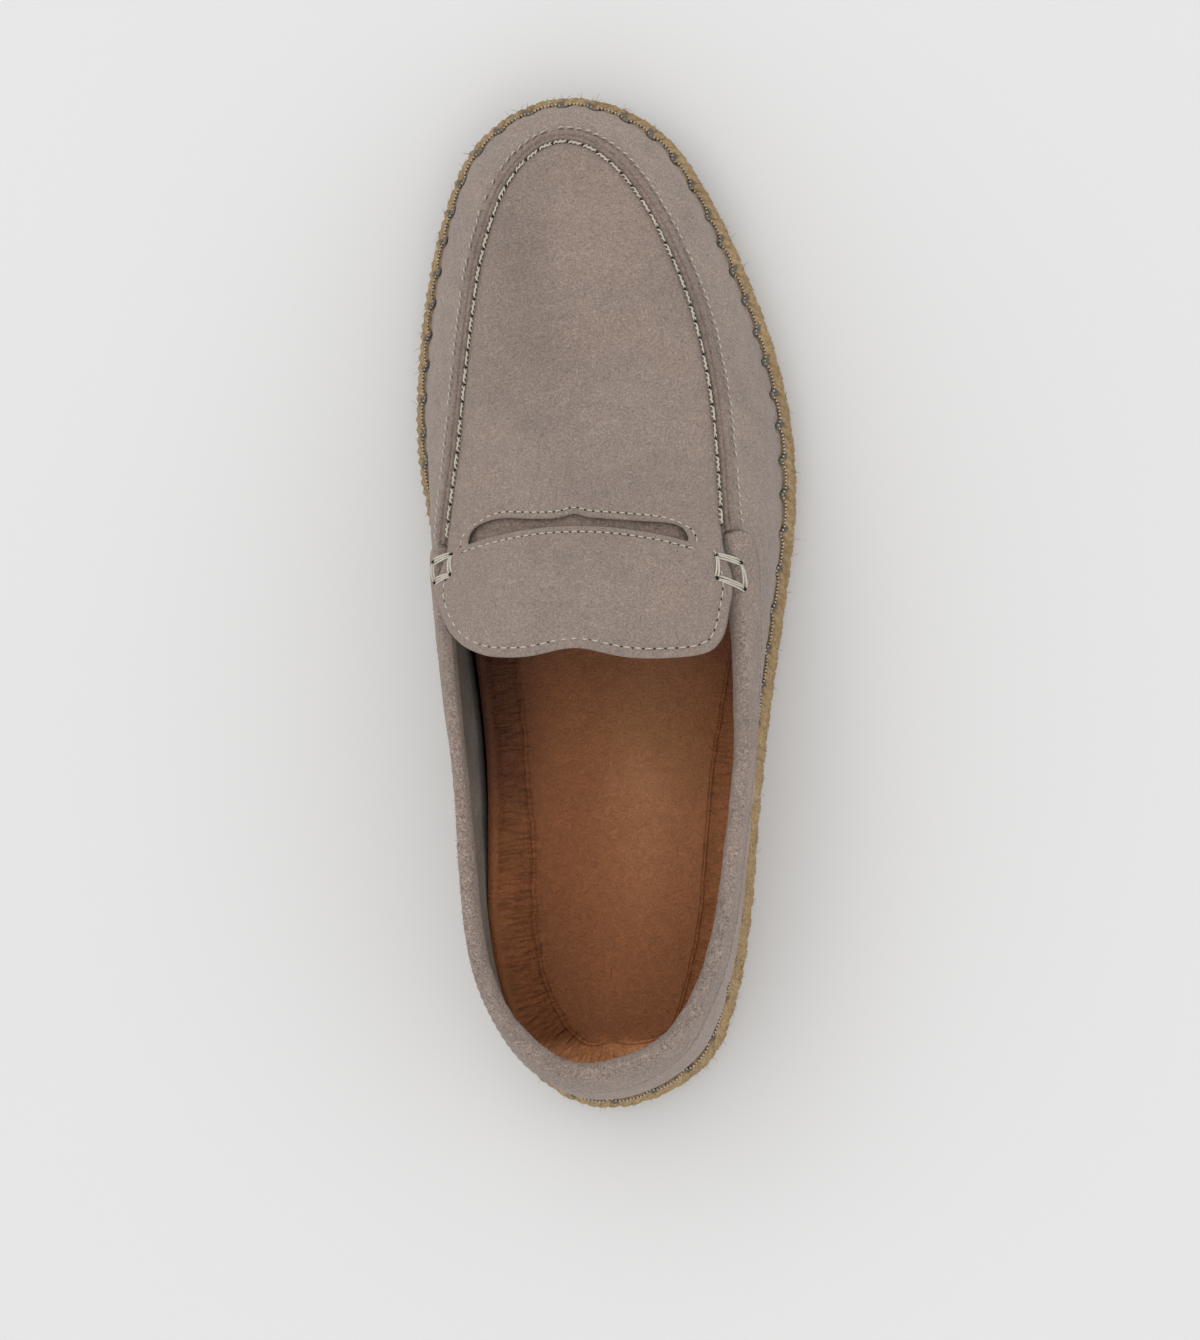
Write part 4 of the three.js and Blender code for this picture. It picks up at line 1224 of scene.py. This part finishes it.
def tongue_stitches():
    tubes, hole_shades = Tubes(), Tubes()
    edge = apron_loops()[0]
    row = inset_loop(resample(edge[:, 0], edge[:, 1], 0.6), FLAP_ROW_INSET)
    row = row[row[:, 1] < CORNER_Y - 4.5]
    row = row[np.argsort(np.arctan2(row[:, 0], -(row[:, 1] - 25)))]
    row = resample(row[:, 0], row[:, 1], FLAP_ROW_PITCH, closed=False)
    run_stitches(tubes, hole_shades, row, 0.21, 0.2, 0.24, 0.3)
    u = np.linspace(-SLOT_HALF_WIDTH - 1.6, SLOT_HALF_WIDTH + 1.6, 200)
    low = resample(u, slot_low(u) - 1.9, SLOT_ROW_PITCH, closed=False)
    run_stitches(tubes, hole_shades, low, 0.2, 0.17, 0.24, 0.27)
    w = np.linspace(-1, 1, 200)
    bend = np.maximum(0, 1 - w ** 6) ** 0.5
    x = w * (SLOT_HALF_WIDTH + 2.2)
    high = slot_high(np.clip(x, -SLOT_HALF_WIDTH + 3, SLOT_HALF_WIDTH - 3)) + 1.7
    y = slot_low(x) + (high - slot_low(x)) * bend
    high = resample(x, y, SLOT_ROW_PITCH, closed=False)
    run_stitches(tubes, hole_shades, high, 0.2, 0.17, 0.24, 0.27)
    tubes.build("tongue_thread", CREAM)
    hole_shades.build("tongue_hole_shade", HOLE_SHADE)


# Hand stitches that tie the flap's shoulders to the collar.
# x, y: two holes on the flap, two on the collar.
TIE_LATERAL = {"flap": ((38.6, 10.2), (38.7, 3.8)), "collar": ((44.9, 7.9), (45.6, 0.6))}
TIE_MEDIAL = {"flap": ((-36.6, 14.0), (-36.8, 8.4)), "collar": ((-42.4, 12.2), (-42.2, 6.6))}


def collar_top(x, y):
    side = 1 if x > 0 else -1
    angle = side * float(ridge_angle(y))
    top = ridge_point(angle)
    out = abs(x) - abs(top[0])
    crest = COLLAR_CREST * collar_round(y)
    fall = max(0.0, out - 1.0)
    return top[2] + crest - 0.28 * fall * fall


def tie_stitches():
    tubes, hole_shades = Tubes(), Tubes()
    for tie in (TIE_LATERAL, TIE_MEDIAL):
        flap = [above_apron(x, y, 0.1) for x, y in tie["flap"]]
        collar = [np.array([x, y, collar_top(x, y) + 0.25]) for x, y in tie["collar"]]
        side = unit(np.array([np.sign(tie["flap"][0][0]), 0, 0.9]))
        paths = ((flap[0], collar[0], 3), (flap[1], collar[1], 3), (flap[0], flap[1], 2),
                 (collar[0], collar[1], 2))
        for a, b, count in paths:
            for k in range(count):
                across = np.array([0, 1, 0]) if count > 2 else np.array([1, 0, 0])
                off = across * (k - (count - 1) / 2) * 0.78
                bow = across * RNG.normal(0, 0.12)
                lift = 0.9 if count > 2 else 0.6
                stitch(tubes, a + off * 0.7 + bow, b + off - bow, side, 0.29, lift, samples=15)
        # near-black blobs of painted shade at the needle holes
        for h in flap + collar:
            hole_shades.add([h - [0, 0.6, 0.1], h - [0, 0, 0.1], h + [0, 0.6, -0.1]], [0.4, 0.7, 0.4],
                      sides=8, flat=0.5)
    tubes.build("tie_thread", CREAM)
    hole_shades.build("tie_hole_shade", HOLE_SHADE)


# Collar.

def collar_round(y):
    into = np.clip((CORNER_Y - GAP - y) / COLLAR_END_ROUND, 0, 1)
    return 0.3 + 0.7 * np.sqrt(1 - (1 - into) ** 2)


COLLAR_SECTION = [
    (GAP, -0.95, 0), (GAP + COLLAR_PAD * 0.45, -1, 0), (GAP + COLLAR_PAD * 0.85, -0.78, 0),
    (GAP + COLLAR_PAD, -0.42, 0), (GAP + COLLAR_PAD * 0.85, 0, 0),
    (GAP + COLLAR_PAD * 0.3, 0, 0.75), (-WALL / 2, 0, 1),
    (-WALL - GAP - COLLAR_PAD * 0.3, 0, 0.75), (-WALL - GAP - COLLAR_PAD * 0.85, 0, 0),
    (-WALL - GAP - COLLAR_PAD, -0.42, 0), (-WALL - GAP - COLLAR_PAD * 0.8, -0.8, 0),
    (-WALL - GAP - COLLAR_PAD * 0.35, -1, 0), (-WALL - GAP, -0.95, 0),
]
COLLAR_END = float(ridge_angle(CORNER_Y - GAP))


def collar_surface(angle, w):
    """A point of the roll: w runs from 0 at the outer lower edge to 1 at the inner one."""
    rows = np.array(COLLAR_SECTION)
    at = np.linspace(0, 1, len(rows))
    out = smooth(at, rows[:, 0], w)
    down = smooth(at, rows[:, 1], w)
    crest = smooth(at, rows[:, 2], w)
    y = ridge_point(angle)[..., 1]
    scale = collar_round(y)
    height = wall_height(angle)
    rear = (1 - ease((y + 60) / 55)) * (1 - 0.95 * (1 - ease((y + 134) / 22)))
    outer_side = out > -WALL / 2
    slim = np.where(outer_side, 1 - 0.75 * rear, 1.0)
    medial = np.where(np.sin(angle) < 0, 1.0, 0.0) * ease((y + 75) / 40)
    slim = np.where(outer_side, slim, 1 - 0.6 * medial)
    beyond = np.where(outer_side, np.maximum(out - GAP, 0), np.minimum(out + WALL + GAP, 0))
    middle = np.where(outer_side, np.minimum(out, GAP), np.maximum(out, -WALL - GAP))
    shorter = np.where(outer_side, collar_shorter(y), 1.0)
    level = 1 + np.minimum(down, 0) * shorter * COLLAR_DROP * scale / height
    p = beside_wall(angle, level, middle + beyond * slim)
    p[..., 2] += np.maximum(crest, 0) * COLLAR_CREST * scale
    return p


COLLAR_STEPS = (420, 44)
COLLAR_GROOVE = 0.115


def make_collar():
    n, k = COLLAR_STEPS
    u = np.linspace(-1, 1, n)
    angle = COLLAR_END * (0.7 * u + 0.3 * np.sin(math.pi / 2 * u))
    w = np.linspace(0, 1, k)
    a, ww = np.meshgrid(angle, w, indexing="ij")
    p = collar_surface(a, ww)
    centre = collar_surface(angle, 0.5) - points(0, 0, COLLAR_CREST)
    out = unit(p - centre[:, None, :])
    relief = 0.35 * wobble(p, 16, 8) + 0.18 * wobble(p, 5, 9) + 0.06 * wobble(p, 1.8, 15)
    bend = bell(np.minimum(np.abs(a), 1.2) - 0.45, 0.5)
    inner = ease((ww - 0.5) * 3) * ease((1.0 - ww) * 6)
    pleat = np.sin(a * 46 + 2.2 * wobble(p, 12, 10)) * 0.12 + np.sin(a * 83) * 0.06
    relief = relief + bend * inner * pleat
    relief = relief - 0.3 * bell(ww - COLLAR_GROOVE, 0.02)
    p = p + out * relief[..., None]
    x, y = p[..., 0], p[..., 1]
    ax, ay = apron_edge(round_angles(600))
    under = inside_loop(np.stack([x.ravel(), y.ravel()], 1), np.stack([ax, ay], 1))
    under = under.reshape(x.shape)
    ceiling = under_apron(x, y, apron_thickness(y) + GAP)
    p[..., 2] = np.where(under, np.minimum(p[..., 2], ceiling), p[..., 2])
    verts = p.reshape(-1, 3)
    faces = [f[::-1] for f in grid_faces(n, k, wrap_cols=True)]
    faces += [list(range(k)), list(range((n - 1) * k, n * k))[::-1]]
    obj = part(make_mesh("collar", verts, faces, [SUEDE_COLLAR]), "collar")


def collar_stitches():
    """The fine row along the collar's lower edge."""
    tubes = Tubes()
    edge = lambda a: collar_surface(a, 0.1)
    marks = even_angles(edge, -COLLAR_END + 0.03, COLLAR_END - 0.03, 2.6)
    for a0, a1 in zip(marks, marks[1:]):
        p, q = collar_surface(np.array([a0 + 0.16 * (a1 - a0), a1]), COLLAR_GROOVE)
        normal = wall_normal(a0, 0.8)
        stitch(tubes, p, q, normal, 0.14, 0.16, samples=5, sides=5)
    tubes.build("collar_thread", COLLAR_THREAD)


# Footbed.

def bank_at(y):
    return FOOTBED_BANK * profile(BANK_PROFILE, 1, along_of(y))


FOOTBED_COLUMNS = 1300


def make_footbed():
    n = FOOTBED_COLUMNS
    angle = round_angles(n)
    edge_inset = WELT_LEDGE + WALL + GAP
    foot = feather(angle)
    height = wall_height(angle)
    cut = cut_back(angle, foot[:, 1])
    rings = []
    x, y = sole_point(angle, edge_inset + cut + FOOTBED_THICKNESS / 4)[:2]
    rings.append(points(x, y, sole_top_z(y) + GAP))
    for share in (0.15, 0.4, 0.65, 0.85, 0.94):
        rise = share * (FOOTBED_THICKNESS + bank_at(foot[:, 1]))
        rings.append(beside_wall(angle, rise / height, -WALL - GAP - cut))
    below = len(rings)
    across = np.concatenate([[0.03, 0.08, 0.15], np.linspace(0.2, 1.1, 46), [1.15, 1.35, 1.6]])
    bank_curve = smooth([0, 0.04, 0.3, 0.62, 1, 1.6], [1, 0.92, 0.5, 0.16, 0, -0.04], across)
    for w, b in zip(across, bank_curve):
        inset = edge_inset + np.maximum(w * bank_width(angle), cut + 6 * w * (w < 0.3))
        x, y = sole_point(angle, inset)[:2]
        z = sole_top_z(y) + GAP + FOOTBED_THICKNESS + b * bank_at(y)
        p = points(x, y, z)
        p[:, 2] += footbed_relief(angle, w, p)
        rings.append(p)
    # inner rings shrink to the middle line
    last = rings[-1]
    inner_y = np.clip(last[:, 1], -HALF + 42, HALF - 44)
    mid = (sole_x(wrap(np.arccos(-inner_y / HALF))) + sole_x(wrap(-np.arccos(-inner_y / HALF)))) / 2
    for w in (0.2, 0.42, 0.66, 0.9):
        x = last[:, 0] + (mid * BALL_WIDTH - last[:, 0]) * w
        y = last[:, 1] + (inner_y - last[:, 1]) * w
        z = sole_top_z(y) + GAP + FOOTBED_THICKNESS - 0.04 * bank_at(y)
        p = points(x, y, z)
        p[:, 2] += footbed_relief(angle, 1.6 + w, p)
        rings.append(p)
    verts, faces = closed_stack(rings)
    # along the bank's length and across it, for the gathers of its leather
    beyond = len(rings) - below - len(across)
    level = np.concatenate([np.full(below, -1.0), across, np.full(beyond, 2.0)])
    place = points(0.85 * feather_arc(angle)[None, :], 1.7 * level[:, None], 0.0)
    place = place[..., :2].reshape(-1, 2)
    back = 1 - ease((foot[:, 1] + 10) / 60)
    side = np.where(angle > math.pi, 1.0, 0.7)
    band = ease(level / 0.12) * ease((1.25 - level) / 0.4)
    gathers = (band[:, None] * (back * side)[None, :]).ravel()
    obj = make_mesh("footbed", verts, faces, [FOOTBED_LEATHER], uv=place)
    # the footbed's painted shade and painted light, with the gathers in the alpha
    paint_light_and_shade(obj, footbed_light_and_shade(verts), gathers)
    part(obj, "footbed")


# Stores painted shade and painted light in the 'tone' colour attribute, with the gathers' strength
# in its alpha
def paint_light_and_shade(obj, tone, gathers=None):
    layer = obj.data.color_attributes.new("tone", "FLOAT_COLOR", "POINT")
    alpha = np.ones(len(tone)) if gathers is None else gathers
    flat = np.concatenate([tone, alpha[:, None]], 1)
    layer.data.foreach_set("color", flat.astype(np.float32).ravel())


def footbed_light_and_shade(p):
    """Painted shade along the inner side; painted light on the outer middle, the heel bank and
    raised parts.
    """
    x, y, z = p[:, 0], p[:, 1], p[:, 2]
    # painted shade along the inner side, where the wall shades the leather
    inner = (1 - ease((x + 34) / 27)) * ease((y + 85) / 50)
    # painted light on the middle of the outer side
    lit_patch = spot(x, y, 12, -48, 15, 38)
    front = ease((y + 40) / 40)
    # painted light on the heel bank, which faces the light
    heel = 1 - ease((y + 130) / 6)
    tone = np.stack([0.96 - 0.64 * inner, 0.95 - 0.66 * inner, 0.94 - 0.62 * inner], 1)
    tone = tone * (1 + lit_patch[:, None] * [0.24, 0.5, 0.68])
    tone = tone * (1 + front[:, None] * [0.06, 0.18, 0.52])
    low = sole_top_z(y) + GAP + FOOTBED_THICKNESS
    # painted light: raised leather is made lighter
    raised = np.clip(z - low, 0, 5)[:, None] * [0.02, 0.03, 0.03]
    return tone * (1 + heel[:, None] * [1.4, 1.9, 2.4] + raised)


CREASE_AT = 0.86


def cut_back(angle, y):
    """How far the leather stops short of the inner side's wall."""
    medial = np.where(np.sin(angle) < 0, 1.0, 0.0)
    return medial * 3.0 * ease((y + 105) / 60) * (1 - ease((y - 40) / 30))


def bank_width(angle):
    """The bank is narrower on the outer side."""
    lateral = ease(np.sin(angle) / 0.5)
    return FOOTBED_BANK_WIDTH * (1 - 0.35 * lateral)


def footbed_relief(angle, w, p):
    """The crease at the foot of the bank, gathers over the bank and a soft foot's print."""
    h = 0.22 * wobble(p, 18, 11) + 0.05 * wobble(p, 4, 12)
    turn = np.minimum(angle, TURN - angle)
    line = CREASE_AT + 0.05 * np.sin(3 * angle) + 0.03 * np.sin(11 * angle + 1)
    line = line + 0.2 * bell(turn, 0.3)
    rear = 1 - ease((p[:, 1] + 20) / 60)
    fray = 0.05 * wobble(p, 5, 14)
    for shift, depth in ((0, 0.95), (-0.1, 0.5), (0.1, 0.45), (-0.2, 0.4), (-0.3, 0.25)):
        h = h - rear * depth * bell(w - line - shift + fray, 0.04)
    heel_pad = bell(turn, 1.1)
    h = h + rear * (0.3 + 0.9 * heel_pad) * bell(w - line + 0.36, 0.24)
    if w < 1.2:
        fade = ease(w / 0.15) * ease((1.05 - w) / 0.3)
        heel = bell(turn, 0.9)
        medial = np.where(angle > math.pi, 1.0, 0.4) * rear
        phase = 2.5 * wobble(p, 7, 13)
        arc = feather_arc(angle)
        slanted = arc + 5 * w
        gather = np.sin(TURN * slanted / 2.7 + phase)
        gather = gather + 0.6 * np.sin(TURN * arc / 4.7 - phase)
        h = h + fade * (0.17 * heel + 0.13 * medial) * gather
    return h


def lining_stitches():
    """The row of grey thread where the lining meets the footbed."""
    tubes = Tubes()
    marks = even_angles(feather, 0.2, TURN - 0.2, 7.5)
    for a0, a1 in zip(marks, marks[1:]):
        ends = []
        for a, up in ((a0 + 0.15 * (a1 - a0), 11.0), (a1 - 0.1 * (a1 - a0), 9.4)):
            level = up * (0.55 + 0.45 * bank_at(feather(a)[1]) / FOOTBED_BANK) / wall_height(a)
            ends.append(beside_wall(a, level, -WALL - 0.1))
        normal = -wall_normal(a0, 0.2)
        stitch(tubes, ends[0], ends[1], normal, 0.2, 0.3, sides=6)
    tubes.build("lining_thread", LINING_THREAD)


# Jute sole: a core with twisted strands laid round it in rows.

STRANDS = 3
ROW_HALF_WIDTH = 3.1
TWIST_PITCH = 9.0


def row_place(angle, row):
    """Centre of a rope row with its half height."""
    x, y, nx, ny = sole_point(angle, ROW_HALF_WIDTH)
    low = ground_z(y) + OUTSOLE_THICKNESS + GAP
    half = (sole_top_z(y) - low) / ROPE_ROWS / 2
    return points(x, y, low + (2 * row + 1) * half), points(nx, ny, 0.0), half


def make_rope():
    tubes = Tubes()
    for row in range(ROPE_ROWS):
        angle = even_angles(lambda a: row_place(a, row)[0], 0, TURN, 1.0)
        centre, out, half = row_place(angle, row)
        centre = centre + out * 0.25
        arc = arc_along(centre)
        turns = round(arc[-1] / TWIST_PITCH)
        lump = 1 + 0.13 * wobble(centre, 4, 20 + row)
        if row == ROPE_ROWS - 1:
            lump = lump * (1.04 - 0.12 * pull_of(angle, 1.4))
        for k in range(STRANDS):
            phi = TURN * (turns * arc / arc[-1] + k / STRANDS + 0.31 * row)
            radius = 0.56 * half * lump
            rx, rz = ROW_HALF_WIDTH - radius, half * 1.02 - radius
            path = centre + out * (np.cos(phi) * rx)[:, None]
            path[:, 2] += np.sin(phi) * rz
            tubes.add(path, radius * 1.04, sides=8, plies=5, twist=9.0, start=3 * k)
    tubes.build("rope_rows", JUTE, "midsole")


# height share, inset
CORE_SECTION = [(0, 2.2), (0.15, 1.9), (0.5, 1.9), (0.85, 2.2), (0.97, 2.9), (1, 4.2)]
OUTSOLE_SECTION = [(0, 2.4), (0.04, 1.9), (0.14, 1.45), (0.3, 1.2), (0.8, 1.15), (1, 1.4)]
CORE_GAP = 0.05
SLAB_COLUMNS = 300


def core_low(y):
    return ground_z(y) + OUTSOLE_THICKNESS + CORE_GAP


def sole_slab(name, material, section, low_at, height_at):
    rings = []
    for share, inset in section:
        x, y = sole_point(round_angles(SLAB_COLUMNS), inset)[:2]
        rings.append(points(x, y, low_at(y) + share * height_at(y)))
    part(make_mesh(name, *closed_stack(rings), [material]), name)


def make_core():
    high = lambda y: sole_top_z(y) - core_low(y)
    # the core's dark jute is painted shade seen between the strands
    sole_slab("midsole", JUTE_CORE_SHADED, CORE_SECTION, core_low, high)


def make_outsole():
    sole_slab("outsole", TREAD, OUTSOLE_SECTION, ground_z, lambda y: OUTSOLE_THICKNESS)


def wrap_stitches():
    """Dark thread from the suede's lower edge over the top rope row."""
    tubes = Tubes()
    top = ROPE_ROWS - 1
    for a in WRAP_ANGLES:
        slant = RNG.uniform(0.8, 1.5)
        centre, out, half = row_place(a, top)
        around, _, normal = wall_frame(a, 0.05)
        for side in (-0.55, 0.0, 0.55):
            foot = feather(a) + around * (side + RNG.normal(0, 0.1))
            reach = RNG.uniform(0.9, 1.5)
            crest = centre + around * side + points(0, 0, half + 0.2)
            path = np.array([
                foot + points(0, 0, 1.7) + normal * 0.1,
                foot + points(0, 0, 1.1) + normal * 0.6,
                foot + points(0, 0, 0.5) + normal * 0.9 + around * 0.2 * slant,
                crest + around * 0.5 * slant,
                crest + out * reach + around * 0.9 * slant - points(0, 0, 0.1),
                crest + out * (reach + 0.7) + around * 1.2 * slant - points(0, 0, 0.7),
            ])
            t = np.linspace(0, 5, 16)
            path = np.stack([np.interp(t, np.arange(6), path[:, i]) for i in range(3)], 1)
            tubes.add(path, 0.32, sides=7, plies=PLIES, twist=PLY_TWIST)
    tubes.build("wrap_thread", DARK_THREAD)


EDGING_PITCH = 0.5
EDGING_LEVEL = 0.012


def edging():
    """Fine light overlock dots along the suede's lower edge, with dots of painted shade between
    them.
    """
    white, gap_shade = Tubes(), Tubes()
    marks = even_angles(feather, 0, TURN, EDGING_PITCH, closed=True)
    pull = pull_of(marks)
    p = wall_point(marks, EDGING_LEVEL)
    _, up, normal = wall_frame(marks, EDGING_LEVEL)
    out = LIP + 0.6 - SCALLOP * pull
    p = p + normal * out[:, None]
    p[:, 2] += 0.5 * pull
    for i in range(len(marks)):
        tubes = white if i % 2 else gap_shade
        size, thick = (0.6, 0.31) if i % 2 else (0.35, 0.2)
        a = p[i] - up[i] * size - normal[i] * 0.05
        b = p[i] + up[i] * size - normal[i] * 0.05
        radius = [0.5 * thick, thick, 0.5 * thick]
        tubes.add([a, p[i] + normal[i] * 0.08, b], radius, sides=5, up=normal[i])
    white.build("edging_light", WHITE_THREAD)
    gap_shade.build("edging_gap_shade", HOLE_SHADE)


ROPE_FIBRES = 420
NAP_HAIRS = 2600


def fibres():
    """Loose hairs of the rope and of the collar's nap."""
    hairs = Tubes()
    for _ in range(ROPE_FIBRES):
        a = RNG.uniform(0, TURN)
        row = RNG.integers(0, ROPE_ROWS)
        centre, out, half = row_place(a, row)
        along = points(-out[1], out[0], 0)
        lean = RNG.uniform(-1.3, 1.3)
        start = centre + out * (ROW_HALF_WIDTH - 0.5) * 0.92
        start = start + points(0, 0, RNG.uniform(-0.5, 0.8) * half)
        length = RNG.uniform(1.0, 3.2)
        heading = out * RNG.uniform(0.4, 1) + along * lean
        heading = unit(heading + points(0, 0, RNG.uniform(-0.4, 0.6)))
        bend = along * RNG.normal(0, 0.5) + points(0, 0, RNG.normal(0, 0.4))
        t = np.linspace(0, 1, 4)[:, None]
        hairs.add(start + heading * length * t + bend * t * t, [0.09, 0.08, 0.06, 0.03], sides=3)
    hairs.build("rope_fibres", JUTE)
    nap = Tubes()
    for _ in range(NAP_HAIRS):
        a = RNG.uniform(-COLLAR_END * 0.97, COLLAR_END * 0.8)
        w = RNG.choice([RNG.uniform(0.42, 0.66), RNG.uniform(0.1, 0.9)])
        p = collar_surface(a, w)
        centre = collar_surface(a, 0.5) - points(0, 0, COLLAR_CREST)
        heading = unit(unit(p - centre) * 0.8 + RNG.normal(0, 0.55, 3))
        t = np.linspace(0, 1, 3)[:, None]
        length = RNG.uniform(0.4, 1.1)
        nap.add(p - heading * 0.1 + heading * length * t, [0.05, 0.045, 0.02], sides=3)
    nap.build("collar_nap", SUEDE_COLLAR)


make_outsole()
make_core()
make_rope()
make_upper()
make_seam()
make_apron()
make_collar()
make_footbed()
seam_stitches()
outer_seam_stitches()
tongue_stitches()
tie_stitches()
collar_stitches()
lining_stitches()
wrap_stitches()
edging()
fibres()


# Floor, light and camera.

FLOOR_REACH = 3.0


def floor_material():
    material, tree, shader = new_material("floor")
    where = coordinates(tree)[0]
    pale = [(0.3, (0.8, 0.8, 0.8)), (0.7, (0.81, 0.81, 0.81))]
    tree.links.new(ramp(tree, cloud(tree, where, 3, 2, 0.5), pale), shader.inputs["Base Color"])
    shader.inputs["Roughness"].default_value = 0.9
    shader.inputs["Specular IOR Level"].default_value = 0.1
    return material


def make_floor():
    mesh = bpy.data.meshes.new("floor")
    signs = ((-1, -1), (1, -1), (1, 1), (-1, 1))
    corners = [(x * FLOOR_REACH, y * FLOOR_REACH, 0) for x, y in signs]
    mesh.from_pydata(corners, [], [(0, 1, 2, 3)])
    mesh.materials.append(floor_material())
    new_object("floor", mesh)


def area_light(name, place, aim, size, power):
    data = bpy.data.lights.new(name, "AREA")
    data.shape = "SQUARE"
    data.size = size
    data.energy = power
    obj = new_object(name, data)
    obj.location = place
    obj.rotation_euler = (Vector(aim) - Vector(place)).to_track_quat("-Z", "Y").to_euler()


# name, place, aim, size, power
LIGHTS = [
    ("key", (-0.35, 0.5, 1.7), (0, 0, 0), 1.5, 6.4),
    ("fill", (0.9, -0.2, 1.4), (0, 0, 0.03), 1.4, 2.5),
    ("front", (-0.1, -1.1, 1.2), (0, 0, 0.03), 1.2, 1.4),
]
SKY_STRENGTH = 0.76


def make_lights():
    for light in LIGHTS:
        area_light(*light)
    world = bpy.data.worlds.new("studio")
    world.use_nodes = True
    sky = world.node_tree.nodes["Background"].inputs
    sky["Color"].default_value = (1, 1, 1, 1)
    sky["Strength"].default_value = SKY_STRENGTH
    bpy.context.scene.world = world


# The photograph's view: from above, leaning a little to the outer side and to the heel.
CAMERA_DISTANCE = 1800
LEAN_TO_SIDE = math.radians(6.5)
LEAN_TO_HEEL = math.radians(1.5)
ROLL = math.radians(2.56)
PIXELS_PER_MM = 1008 / 290
IMAGE = (1200, 1340)
TARGET_PIXEL = (597.5, 601.0)
TARGET = np.array([0.0, 0.0, 30.0])
SENSOR = 36.0


def make_camera():
    back = unit(np.array([
        math.sin(LEAN_TO_SIDE) * math.cos(LEAN_TO_HEEL), -math.sin(LEAN_TO_HEEL),
        math.cos(LEAN_TO_SIDE) * math.cos(LEAN_TO_HEEL),
    ]))
    level = unit(np.cross(-back, np.array([0, 1.0, 0])))
    tall = np.cross(level, -back)
    right = math.cos(ROLL) * level - math.sin(ROLL) * tall
    up = math.sin(ROLL) * level + math.cos(ROLL) * tall
    data = bpy.data.cameras.new("camera")
    data.sensor_width = SENSOR
    data.lens = SENSOR * CAMERA_DISTANCE * PIXELS_PER_MM / IMAGE[1]
    data.shift_x = (IMAGE[0] / 2 - TARGET_PIXEL[0]) / IMAGE[1]
    data.shift_y = (TARGET_PIXEL[1] - IMAGE[1] / 2) / IMAGE[1]
    data.clip_end = 20
    obj = new_object("camera", data)
    place = (TARGET + back * CAMERA_DISTANCE + SHIFT) * MM
    rows = [(right[i], up[i], back[i], place[i]) for i in range(3)]
    obj.matrix_world = Matrix(rows + [(0, 0, 0, 1)])
    bpy.context.scene.camera = obj


make_floor()
make_lights()
make_camera()

bpy.context.scene.view_settings.view_transform = "Standard"
